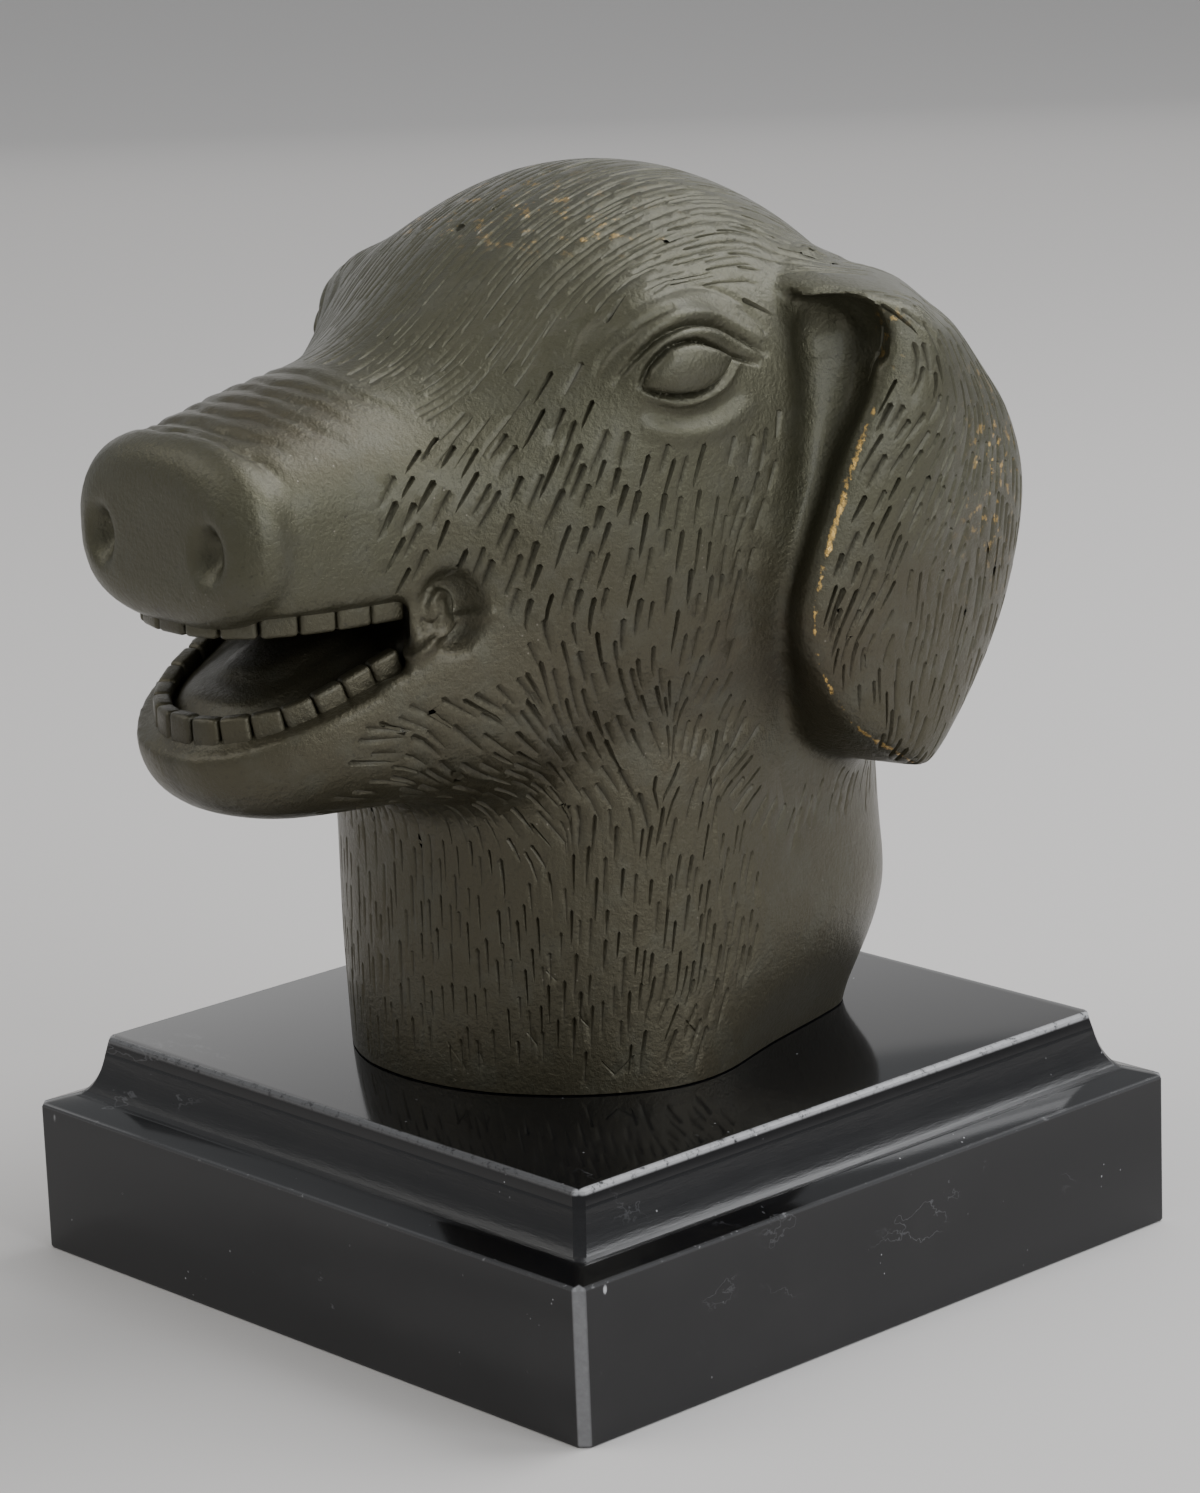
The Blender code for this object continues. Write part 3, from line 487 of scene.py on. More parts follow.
def marble(settings):
    """Polished black stone with faint grey veins, pale chips, whitish rubbed arrises, and a painted highlight
    on the lit step edge.
    """
    made = Finish("black marble")
    x = made.add("ShaderNodeSeparateXYZ", [made.place()], output="X")
    y, z = (Value(made, x.socket.node.outputs[k]) for k in "YZ")
    reach = x.sum("ABSOLUTE").sum("MAXIMUM", y.sum("ABSOLUTE"))
    narrow = x.sum("ABSOLUTE").sum("MINIMUM", y.sum("ABSOLUTE"))
    along = made.add("ShaderNodeCombineXYZ", [reach, narrow * 0.12, z])
    lit_side = x.over(LIT_SIDE - 0.0005, LIT_SIDE + 0.0005)
    wander = made.noise(14.0, 6.0, 0.62, made.stretched((1.0, 1.6, 2.4), (0.4, 0.7, 0.2)))
    vein = (wander - 0.5).sum("ABSOLUTE").over(0.005, 0.0) * made.noise(26.0).over(0.54, 0.66)
    cloud = made.noise(34.0, 5.0)
    colour = made.blend(cloud.over(0.45, 0.8) * 0.6, tuple(settings.black), tuple(settings.haze))
    colour = made.blend(vein * 0.35, colour, tuple(settings.vein))
    ragged = made.noise(520.0, 4.0, 0.7)
    slab = edge_gap(reach - settings.slab_edge_in, z - settings.slab_edge_up)
    step = edge_gap(reach - settings.step_edge_in, z - settings.step_edge_up)
    corner = narrow.over(*(PLINTH_SIDE / 2 - inset for inset in CORNER_BAND)) * (0.22 + ragged * 0.3)
    wear_and_highlight = slab.over(0.0006, 0.0002) * (0.10 + 0.4 * ragged.over(0.60, 0.72))
    # The step's edge is pale from wear, and brighter on the lit side as a painted highlight.
    wear_and_highlight = wear_and_highlight + step.over(0.0010, 0.0005) * (0.22 + 0.6 * lit_side) * ragged.over(0.28, 0.50)
    chip = made.cells(120.0, made.stretched((1.0, 1.0, 0.5), (0.3, 0.2, 0.0))).over(0.07, 0.03)
    chip = chip * made.noise(60.0).over(0.60, 0.66)
    dot = made.cells(480.0).over(0.12, 0.06) * made.noise(110.0).over(0.60, 0.68)
    pale = (wear_and_highlight + corner + chip + dot * 0.7).within(0.0, 1.0)
    colour = made.blend(pale, colour, tuple(settings.wear_and_highlight))
    streak = made.noise(700.0, 4.0, 0.65, along)
    cove = z.over(COVE_FOOT - 0.0003, COVE_FOOT + 0.0003) * z.over(COVE_HEAD + 0.0004, COVE_HEAD - 0.0004)
    cove = cove * reach.over(COVE_REACH + 0.0002, COVE_REACH - 0.0002)
    rough = (0.08 + cloud.over(0.4, 0.8) * 0.05 + pale * 0.4 + cove * (0.1 + 0.25 * streak)).within(0.05, 0.7)
    skin = made.bump(ragged * pale + streak * cove, 0.35, 0.0003)
    return made.set(base_color=colour, roughness=rough, normal=skin)


def edge_gap(along, up):
    """Distance of a point from an edge, from its two parts."""
    return (along * along + up * up).sum("SQRT")


def link(name, shape, split=False):
    """Turns a bmesh into an object of the scene, with its faces split into triangles if asked."""
    bmesh.ops.recalc_face_normals(shape, faces=shape.faces)
    if split:
        bmesh.ops.triangulate(shape, faces=shape.faces)
    mesh = bpy.data.meshes.new(name)
    shape.to_mesh(mesh)
    shape.free()
    made = bpy.data.objects.new(name, mesh)
    bpy.context.scene.collection.objects.link(made)
    return made


@contextmanager
def edited(made):
    """The object's mesh as a bmesh, written back at the end."""
    shape = bmesh.new()
    shape.from_mesh(made.data)
    yield shape
    shape.to_mesh(made.data)
    shape.free()


def vertex_rows(made, name):
    """The positions or normals of the object's vertices."""
    values = np.empty(len(made.data.vertices) * 3)
    made.data.vertices.foreach_get(name, values)
    return values.reshape(-1, 3)


def settled(made):
    """The object with its modifiers applied, under the same name."""
    mesh = bpy.data.meshes.new_from_object(made.evaluated_get(bpy.context.evaluated_depsgraph_get()))
    made.modifiers.clear()
    made.data = mesh
    return made


def remeshed(made, grain, smoothing):
    """One skin round all the shells of the object, with its creases softened."""
    skin = made.modifiers.new("skin", "REMESH")
    skin.mode = "VOXEL"
    skin.voxel_size = grain
    soften = made.modifiers.new("soften", "SMOOTH")
    soften.factor = 0.5
    soften.iterations = smoothing
    return settled(made)


def curve_point(points, i, t, closed):
    """A point of the smooth curve through the points, at share t between point i and the next."""
    size = len(points)
    spots = [(i + k) % size if closed else min(max(i + k, 0), size - 1) for k in (-1, 0, 1, 2)]
    before, start, end, after = (points[k] for k in spots)
    return 0.5 * (2 * start + (end - before) * t + (2 * before - 5 * start + 4 * end - after) * t * t
                  + (3 * start - before - 3 * end + after) * t ** 3)


def smooth_rows(rows, steps):
    """Rows of numbers, with more of them between on a smooth curve."""
    table = [np.array(row, float) for row in rows]
    spans = [(i, k / steps) for i in range(len(table) - 1) for k in range(steps)]
    return [curve_point(table, i, t, False) for i, t in spans] + [table[-1]]


def even_points(points, count, closed):
    """Evenly spaced points along the smooth curve through the points."""
    table = [np.array(point, float) for point in points]
    last = len(table) if closed else len(table) - 1
    dense = [curve_point(table, i, k / CURVE_STEPS, closed) for i in range(last) for k in range(CURVE_STEPS)]
    dense.append(table[0] if closed else table[-1])
    dense = np.array(dense)
    reach = np.concatenate([[0.0], np.cumsum(np.linalg.norm(np.diff(dense, axis=0), axis=1))])
    wanted = np.linspace(0.0, reach[-1], count + 1 if closed else count)
    spots = np.stack([np.interp(wanted, reach, dense[:, k]) for k in range(dense.shape[1])], axis=1)
    return spots[:-1] if closed else spots


def near(table, value):
    """Reads the second column of a table at one or more values of the first."""
    return np.interp(value, [row[0] for row in table], [row[1] for row in table])


def inside(oval, y, z):
    """Whether a place on the cheek lies in an oval."""
    middle, halves = oval
    return ((y - middle[0]) / halves[0]) ** 2 + ((z - middle[1]) / halves[1]) ** 2 < 1.0


def add_loft(shape, rings):
    """Skins closed rings of equally many points, and caps both ends."""
    rows = [[shape.verts.new(point) for point in ring] for ring in rings]
    for low, high in zip(rows, rows[1:]):
        for i in range(len(low)):
            j = (i + 1) % len(low)
            shape.faces.new((low[i], low[j], high[j], high[i]))
    shape.faces.new(rows[0][::-1])
    shape.faces.new(rows[-1])


def rounded_ring(y, width, top, middle, bottom, above, below):
    """A rounded section across the head at one y."""
    ring = []
    for i in range(RING_POINTS):
        angle = 2 * math.pi * i / RING_POINTS
        c, s = math.cos(angle), math.sin(angle)
        power = 2 / (above if s >= 0 else below)
        across = math.copysign(abs(c) ** power, c) * width
        height = abs(s) ** power * (top - middle if s >= 0 else bottom - middle)
        ring.append((across, y, middle + height))
    return ring


def add_ball(shape, centre, radii):
    place = Matrix.LocRotScale(Vector(centre), None, Vector(radii))
    bmesh.ops.create_icosphere(shape, subdivisions=3, radius=1.0, matrix=place)


def add_balls(shape, centre, radii):
    """A ball and its mirror image."""
    for side in (-1, 1):
        add_ball(shape, (side * centre[0], *centre[1:]), radii)


def add_sweep(shape, path, across, up):
    """An oval bar along a path, by its half width and half height."""
    rings = []
    rise = np.array((0.0, 0.0, up))
    turns = [2 * math.pi * k / 16 for k in range(16)]
    for i, spot in enumerate(path):
        ahead = path[min(i + 1, len(path) - 1)] - path[max(i - 1, 0)]
        side = np.array((ahead[1], -ahead[0], 0.0))
        side /= np.linalg.norm(side)
        rings.append([spot + side * across * math.cos(a) + rise * math.sin(a) for a in turns])
    add_loft(shape, rings)


def both_ways(half):
    """A half outline and its mirror image, in order from one back end to the other."""
    return [(-x, y) for x, y in half[:0:-1]] + list(half)


def neck_ring(height, swell):
    """One level section of the neck."""
    full, foot = even_points(NECK_FULL, 24, False), even_points(NECK_FOOT, 24, False)
    half = foot + (full - foot) * swell
    ring = []
    for spot in [*half, *(half[-2:0:-1] * (-1.0, 1.0))]:
        lean = max(0.0, float(spot @ LEAN_WAY) / float(np.linalg.norm(spot)))
        x, y = spot + np.array(LEAN_WAY) * NECK_LEAN * lean ** 2
        ring.append((x, y, height))
    return ring


def ear_ring(row, draw_in):
    """One level section of the left ear. Drawn in, it lies under the ear, for the fillet at its root."""
    height = row[0]
    front, swell, corner, heel, root = (np.array(row[1 + 2 * k:3 + 2 * k]) for k in range(5))
    front = front + (-draw_in, draw_in)
    swell = swell - (draw_in, 0)
    corner = corner - draw_in
    heel = heel - draw_in
    root = root + (0, draw_in)
    rear = (EAR_ROOT_DEPTH, max(heel[1] - 6.0, root[1] + 4.0))
    inner = (EAR_ROOT_DEPTH, root[1] + 2.0)
    ring = even_points([front, swell, corner, heel, rear, inner, root], RING_POINTS, True)
    return [(x, y, height) for x, y in ring]


def add_ears(shape, draw_in):
    table = [[height, *[n for spot in spots for n in spot]] for height, *spots in EAR]
    for side in (-1, 1):
        rings = [ear_ring(row, draw_in) for row in smooth_rows(table, 3)]
        add_loft(shape, [[(side * x, y, z) for x, y, z in ring] for ring in rings])


def head_body():
    """Skull, snout, closed jaw, brows and neck, run together into one soft form."""
    shape = bmesh.new()
    add_ears(shape, EAR_FILLET)
    add_loft(shape, [rounded_ring(*row) for row in smooth_rows(SKULL, 3)])
    add_loft(shape, [rounded_ring(*row) for row in smooth_rows(JAW, 3)])
    add_loft(shape, [neck_ring(height, swell) for height, swell in smooth_rows(NECK_SWELL, 3)])
    add_balls(shape, *BROW)
    return remeshed(link("pig_head", shape), BODY_GRAIN, BODY_SMOOTHING)


def mouth_cut(shape):
    """The open mouth from side to side, as far back as the string of skin at its corner."""
    outline = list(LOWER_RIM) + [(LOWER_RIM[-1][0], UPPER_LIP), (LOWER_RIM[0][0], UPPER_LIP)]
    add_loft(shape, [[(x, y, z) for y, z in outline] for x in (-MOUTH_HALF, MOUTH_HALF)])


def inset_plan(distance, back):
    """The lower rim's half plan, moved inward, as far back as asked."""
    spots = even_points(both_ways(RIM_PLAN), 61, False)
    ahead = np.gradient(spots, axis=0)
    inward = np.stack([-ahead[:, 1], ahead[:, 0]], axis=1)
    inward /= np.linalg.norm(inward, axis=1)[:, None]
    moved = spots + inward * distance
    return moved[moved[:, 1] <= back]


def cavity_cut(shape):
    """The bowl of the mouth, inside the rows of teeth."""
    back = [(CAVITY_BACK, -67.0), (CAVITY_BACK, -62.6), (20.0, -58.4), (10.0, -51.0), (0.0, -49.0)]
    back += [(-x, y) for x, y in back[-2::-1]]
    plan = even_points([*inset_plan(CAVITY_INSET, -72.0), *back], 72, True)
    middle = np.array((0.0, -70.0))
    rings = []
    for share, drop in CAVITY_BOWL:
        spots = middle + (plan - middle) * share
        rings.append([(x, y, min(near(LOWER_RIM, y) - drop, UPPER_LIP + 0.6)) for x, y in spots])
    add_loft(shape, rings)


def pocket_cut(shape):
    """The oval hollow behind the string of skin, on both cheeks."""
    add_balls(shape, *POCKET)


def conch_cut(shape, lowest):
    """The channel that runs down in front of each ear, from its top to the lowest height asked for."""
    rows = [row for row in smooth_rows(CONCH, 3) if row[0] >= lowest]
    for side in (-1, 1):
        rings = []
        turns = [2 * math.pi * k / 24 for k in range(24)]
        for height, middle, half, floor in rows:
            reach = CONCH_MIDDLE - floor
            rings.append([(side * (CONCH_MIDDLE - reach * math.cos(a)), middle + half * math.sin(a), height)
                          for a in turns])
        add_loft(shape, rings)


def combined(made, shape, operation, solver="MANIFOLD"):
    """Joins a drawn form to the object, or cuts it out."""
    tool = link("tool", shape, split=solver == "MANIFOLD")
    join = made.modifiers.new("join", "BOOLEAN")
    join.object = tool
    join.operation = operation
    join.solver = solver
    before = len(made.data.polygons)
    settled(made)
    bpy.data.objects.remove(tool)
    if len(made.data.polygons) in (0, before):
        raise RuntimeError("the Boolean changed nothing")


def cut(made, draw, *details):
    """Cuts a form that has still to be drawn out of the object."""
    shape = bmesh.new()
    draw(shape, *details)
    combined(made, shape, "DIFFERENCE", "EXACT")


def add_disc(shape):
    """The flat end of the snout, with its rounded rim."""
    rings = [(y, w, DISC_MIDDLE + h, DISC_MIDDLE - 1.0, DISC_MIDDLE - h, 2.3, 2.7) for y, w, h in DISC]
    add_loft(shape, [rounded_ring(*ring) for ring in rings])


def add_tooth(shape, spot, facing, climb, width, low, high):
    """A blunt tooth with rounded edges, leaning as its row climbs."""
    turn = Matrix.Rotation(facing, 4, "Z") @ Matrix.Rotation(-climb, 4, "Y")
    place = Matrix.Translation((spot[0], spot[1], (low + high) / 2)) @ turn
    size = Matrix.Diagonal((width, TOOTH_DEPTH, high - low, 1.0))
    made = bmesh.ops.create_cube(shape, size=1.0, matrix=place @ size)
    edges = {edge for vert in made["verts"] for edge in vert.link_edges}
    bmesh.ops.bevel(shape, geom=list(edges), offset=TOOTH_ROUNDING, segments=3, affect="EDGES", profile=0.5)


def add_row(shape, spots, first, heights):
    """Every second tooth of a row, each as wide as its share of the row."""
    for i in range(first, len(spots) - 1, 4):
        ahead = spots[i + 1] - spots[i - 1]
        low, high = heights(spots[i][1])
        climb = math.atan2(heights(spots[i + 1][1])[1] - heights(spots[i - 1][1])[1], np.linalg.norm(ahead))
        width = float(np.linalg.norm(ahead)) / math.cos(climb) - 0.06
        add_tooth(shape, spots[i], math.atan2(ahead[1], ahead[0]), climb, width, low, high)


def add_teeth(shape, first):
    lower = inset_plan(4.4, -60.0)
    count = round(np.linalg.norm(np.diff(lower, axis=0), axis=1).sum() / TOOTH_PITCH)
    spots = even_points(lower, 2 * count + 1, False)
    add_row(shape, spots, first, lambda y: (near(LOWER_TOOTH_FOOT, y) - 2.0, near(LOWER_TOOTH_TOP, y)))
    spots = even_points(both_ways(UPPER_ROW), 2 * UPPER_TEETH + 1, False)
    add_row(shape, spots, first, lambda y: (UPPER_TOOTH_TIP, UPPER_LIP + 2.0))


def add_gums(shape):
    """The ridges that the teeth stand on, and the tongue between them."""
    for distance, lift in ((5.0, -0.4), (8.8, 1.2)):
        plan = inset_plan(distance, -60.0)
        path = [np.array((x, y, near(LOWER_TOOTH_FOOT, y) - 1.6 + lift)) for x, y in plan]
        add_sweep(shape, path, 2.4, 2.0)
    path = [np.array((x, y, UPPER_LIP + 1.0)) for x, y in even_points(both_ways(UPPER_ROW), 41, False)]
    add_sweep(shape, path, 3.0, 2.4)
    for table in (TONGUE, TONGUE_RIDGE):
        rows = smooth_rows(table, 4)
        add_loft(shape, [rounded_ring(y, w, top, top - 2.4, top - 9.0, 3.0, 3.0) for y, w, top in rows])


def head_details(body):
    """Adds the parts with crisp edges, under one fine skin."""
    with edited(body) as shape:
        add_disc(shape)
        add_ears(shape, 0.0)
        add_gums(shape)
        add_balls(shape, *BOSS)
    remeshed(body, FINE_GRAIN, FINE_SMOOTHING)


def line_reach(spots, line):
    """Distance of each point from a line, and its share of the way along it."""
    nearest = np.full(len(spots), np.inf)
    share = np.zeros(len(spots))
    for i, (start, end) in enumerate(zip(line, line[1:])):
        along = end - start
        t = np.clip((spots - start) @ along / (along @ along), 0.0, 1.0)
        gap = np.linalg.norm(spots - start - t[:, None] * along, axis=1)
        closer = gap < nearest
        nearest = np.where(closer, gap, nearest)
        share = np.where(closer, (i + t) / (len(line) - 1), share)
    return nearest, share


def carve_line(spots, push, points, width, depth):
    """A groove, or with a negative depth a ridge, that thins out at both ends."""
    gap, share = line_reach(spots[:, 1:], even_points(points, 16, False))
    fade = np.sqrt(np.clip(np.sin(math.pi * share), 0.0, 1.0))
    push -= depth * fade * np.exp(-(gap / width) ** 2)


def carve_ball(spots, change):
    """The almond of the eyeball, standing out between the lids."""
    upper, lower = near(EYE_UPPER, spots[:, 1]), near(EYE_LOWER, spots[:, 1])
    share = np.clip((spots[:, 2] - lower) / np.maximum(upper - lower, 0.1), 0.0, 1.0)
    within = (spots[:, 1] > EYE_UPPER[0][0]) & (spots[:, 1] < EYE_UPPER[-1][0])
    fade = np.clip((upper - lower) / 6.0, 0.0, 1.0) ** 0.5
    change += EYE_BULGE * within * np.sqrt(4 * share * (1 - share)) * fade


def carve_cheek(spots, push):
    """Eyeball, lids, crease and bag, and the lines of the mouth's corner, alike on both sides."""
    y, z = EYE_MIDDLE
    reach = np.maximum(np.abs(spots[:, 1] - y), np.abs(spots[:, 2] - z))
    beside = np.flatnonzero((np.abs(spots[:, 0]) > EYE_INNER_LIMIT) & (reach < EYE_REACH))
    skin, change = spots[beside], np.zeros(len(beside))
    for width, depth, points in EYE_LINES:
        carve_line(skin, change, points, width, depth)
    carve_ball(skin, change)
    push[beside] += change
    across, along, up = np.abs(spots[:, 0]), spots[:, 1], spots[:, 2]
    corner = np.flatnonzero((across > 24.0) & (np.abs(along + 60.0) < 14.0) & (up < 99.0))
    skin, change = spots[corner], np.zeros(len(corner))
    for width, depth, points in CHEEK_LINES:
        carve_line(skin, change, points, width, depth)
    push[corner] += change


def carve_nostrils(spots, push):
    """Two soft oval pits in the flat end of the snout."""
    for side in (-1, 1):
        across = (spots[:, 0] - side * NOSTRIL[0]) / NOSTRIL_SIZE[0]
        height = (spots[:, 2] - NOSTRIL[1]) / NOSTRIL_SIZE[1]
        front = np.clip((NOSTRIL_BACK - spots[:, 1]) / 4.0, 0.0, 1.0)
        push -= NOSTRIL_DEPTH * front * np.exp(-(across ** 2 + height ** 2) ** 1.5)


def carve_wrinkles(spots, normals, push):
    """Folds of skin across the top of the snout."""
    bow = spots[:, 1] - 0.014 * spots[:, 0] ** 2
    facing_up = np.clip(normals[:, 2] * 1.6, 0.0, 1.0) * (spots[:, 2] > DISC_MIDDLE)
    across = np.abs(spots[:, 0])
    for i, place in enumerate(WRINKLES):
        wander = place + 0.5 * np.sin(spots[:, 0] * 0.31 + 2.3 * i) + 0.25 * np.sin(spots[:, 0] * 0.83 + i)
        fade = np.clip((22.0 - 2.0 * (i % 3) - across) / 8.0, 0.0, 1.0) * facing_up
        gap = bow - wander
        push -= (0.55 - 0.04 * i) * fade * np.exp(-(gap / 0.7) ** 2)
        push += 0.22 * fade * np.exp(-((gap - 1.9) / 1.2) ** 2)


def carved(made):
    """Pushes the skin in and out where it is carved."""
    spots, normals = vertex_rows(made, "co"), vertex_rows(made, "normal")
    push = np.zeros(len(spots))
    carve_nostrils(spots, push)
    carve_cheek(spots, push)
    carve_wrinkles(spots, normals, push)
    made.data.vertices.foreach_set("co", (spots + normals * push[:, None]).ravel())
    made.data.update()


def square_ring(inset, height):
    """The plinth's outline at one height: a square with its corners planed off."""
    edge = PLINTH_SIDE / 2 - inset
    quarter = [(edge, CORNER_CHAMFER - edge), (edge, edge - CORNER_CHAMFER)]
    ring = []
    for turn in range(4):
        c, s = math.cos(turn * math.pi / 2), math.sin(turn * math.pi / 2)
        ring += [(x * c - y * s, x * s + y * c, height) for x, y in quarter]
    return ring


def cove_profile():
    """The hollow moulding between ledge and fillet, as (inset, height) pairs."""
    foot = np.array((LEDGE_WIDTH, SLAB_HEIGHT + LEDGE_RISE))
    head = np.array((STEP_INSET - FILLET_BATTER, PLINTH_TOP - FILLET_HEIGHT))
    bend = foot + (head - foot) * (0.69, 0.23)
    return [foot * (1 - t) ** 2 + bend * 2 * t * (1 - t) + head * t * t for t in np.linspace(0, 1, 25)]


def refined(made):
    """Splits the skin finely round the eyes and the mouth's corners, where it is carved."""
    with edited(made) as shape:
        faces = []
        for face in shape.faces:
            x, y, z = face.calc_center_median()
            if abs(x) > EYE_INNER_LIMIT and (inside(EYE_FINE, y, z) or inside(POCKET_FINE, y, z)):
                faces.append(face)
        edges = {edge for face in faces for edge in face.edges}
        split = bmesh.ops.subdivide_edges(shape, edges=list(edges), cuts=2, use_grid_fill=True)
        verts = [item for item in split["geom"] if isinstance(item, bmesh.types.BMVert)]
        for turn in range(3):
            bmesh.ops.smooth_vert(shape, verts=verts, factor=0.5,
                                  use_axis_x=True, use_axis_y=True, use_axis_z=True)
        bmesh.ops.triangulate(shape, faces=shape.faces)


def cut_flat(made):
    """Cuts the neck flat at the head's foot, and closes it."""
    with edited(made) as shape:
        everything = shape.verts[:] + shape.edges[:] + shape.faces[:]
        bmesh.ops.bisect_plane(shape, geom=everything, plane_co=(0, 0, 0), plane_no=(0, 0, 1),
                               clear_inner=True)
        bmesh.ops.contextual_create(shape, geom=[edge for edge in shape.edges if edge.is_boundary])
        bmesh.ops.triangulate(shape, faces=shape.faces)
        bmesh.ops.recalc_face_normals(shape, faces=shape.faces)


def lightened(made, triangles):
    """Thins the mesh out where it is smooth, to the number of triangles, if it has more."""
    count = triangle_count(made)
    if count > triangles:
        thin = made.modifiers.new("thin", "DECIMATE")
        thin.ratio = triangles / count
        settled(made)


def shells(shape):
    """The faces of each separate shell."""
    left = set(shape.faces)
    while left:
        shell, todo = [], [left.pop()]
        while todo:
            face = todo.pop()
            shell.append(face)
            beside = {other for edge in face.edges for other in edge.link_faces} & left
            left -= beside
            todo += beside
        yield shell


def mended(made):
    """Takes away what cutting and thinning leave: flaps, crumbs, loose edges, and folds of no thickness."""
    with edited(made) as shape:
        flaps = [face for face in shape.faces if any(len(edge.link_faces) > 2 for edge in face.edges)
                 and any(edge.is_boundary for edge in face.edges)]
        bmesh.ops.delete(shape, geom=flaps, context="FACES")
        crumbs = [face for shell in shells(shape) if len(shell) < CRUMB_FACES for face in shell]
        bmesh.ops.delete(shape, geom=crumbs, context="FACES")
        bmesh.ops.delete(shape, geom=[edge for edge in shape.edges if edge.is_wire], context="EDGES")
        bmesh.ops.delete(shape, geom=[vert for vert in shape.verts if not vert.link_faces], context="VERTS")
    made.data.calc_loop_triangles()
    seen = Counter(frozenset(triangle.vertices) for triangle in made.data.loop_triangles)
    doubled = sorted({index for corners, times in seen.items() if times > 1 for index in corners})
    with edited(made) as shape:
        shape.verts.ensure_lookup_table()
        tips = [shape.verts[index] for index in doubled if len(shape.verts[index].link_edges) == 2]
        bmesh.ops.dissolve_verts(shape, verts=tips)


def hair_ways(spots, normals):
    """The unit direction in which the hair lies at each point of the skin."""
    rows = np.array(LAY, float)
    places = np.concatenate([rows[:, :3], rows[:, :3] * (-1, 1, 1)])
    leans = np.radians(np.concatenate([rows[:, 3], rows[:, 3]]))
    ways = np.stack([np.zeros(len(leans)), np.sin(leans), -np.cos(leans)], axis=1)
    gaps = np.linalg.norm(spots[:, None, :] - places[None], axis=2)
    shares = 1.0 / (gaps ** 2 + 4.0) ** 2
    spread = np.einsum("nm,mi,mj->nij", shares, ways, ways)
    flat = np.eye(3) - normals[:, :, None] * normals[:, None, :]
    made = np.linalg.eigh(flat @ spread @ flat)[1][:, :, -1]
    turned = np.sum(made * (shares @ ways), axis=1) < 0
    return np.where(turned[:, None], -made, made)


EAR_LINE = [(row[0], row[1][1]) for row in reversed(EAR)]


def stroke_kind(spot, normal):
    """Which stroke the hair has at a place, or none where the metal is smooth."""
    x, y, z = abs(spot[0]), spot[1], spot[2]
    edge = float(near(EAR_LINE, z))
    beside_ear = 50.0 < z < 142.0
    if beside_ear and y > edge + 2.6 and (x > 51.0 or (y > 40.0 and x > 42.0)):
        return "ear" if z > 84.0 else "lobe"
    if z < 2.5 or (z < 45.0 and y > min(5.0, 0.69 * z - 13.0)):
        return None
    if x > 36.0 and beside_ear and y > min(edge - 9.0, 7.0):
        return None
    if x > 30.0 and inside(EYE_BARE, y, z):
        return None
    if y < -47.0 and z > 60.0:
        if inside(POCKET_BARE, y, z) or abs(normal[0]) < 0.25 and z < 118.0:
            return None
        if z < 98.0 and (z > near(LOWER_RIM, y) - 3.5 or y < -78.0 or x < 20.0):
            return None
        if z > 97.0 and (y < -65.0 or z < 101.0):
            return None
    if y < -78.0 or (y < -60.0 and z > 118.0):
        return None
    if z > 140.0 or (z > 124.0 and (x < 31.0 or y > 30.0)) or (y > 30.0 and z > 110.0):
        return "crown"
    if z > 84.0:
        return "cheek" if y < -14.0 or z > 112.0 else "side"
    if y > -24.0 and z > 60.0:
        return "side"
    return "jaw" if z > 53.0 and y < -20.0 else "neck"


def stroke_places(made, tries):
    """Places for the strokes on the skin, each with the room that its kind takes, in a fixed random order."""
    mesh = made.data
    mesh.calc_loop_triangles()
    count = len(mesh.loop_triangles)
    corners, areas = np.empty(count * 3, np.int32), np.empty(count)
    mesh.loop_triangles.foreach_get("vertices", corners)
    mesh.loop_triangles.foreach_get("area", areas)
    spots, corners = vertex_rows(made, "co"), corners.reshape(-1, 3)
    dice = np.random.default_rng(STROKE_SEED)
    picked = dice.choice(count, size=tries, p=areas / areas.sum())
    u, v = dice.random(tries), dice.random(tries)
    u, v = np.where(u + v > 1, 1 - u, u), np.where(u + v > 1, 1 - v, v)
    a, b, c = (spots[corners[picked, k]] for k in range(3))
    places = a + (b - a) * u[:, None] + (c - a) * v[:, None]
    normals = np.cross(b - a, c - a)
    normals /= np.maximum(np.linalg.norm(normals, axis=1), 1e-9)[:, None]
    ways = hair_ways(places, normals)
    kept, kept_places = [], np.empty((tries, 3))
    for i in range(tries):
        kind = stroke_kind(places[i], normals[i])
        if kind is None:
            continue
        room = np.array(STROKES[kind][3:]) * dice.uniform(0.8, 1.3)
        size = len(kept)
        gaps = kept_places[:size] - places[i]
        along = gaps @ ways[i]
        across = np.linalg.norm(gaps - along[:, None] * ways[i], axis=1)
        if size and np.min((across / room[0]) ** 2 + (along / room[1]) ** 2) < 1.0:
            continue
        kept_places[size] = places[i]
        kept.append((places[i], kind, dice.uniform(0.7, 1.3, 3)))
    return kept


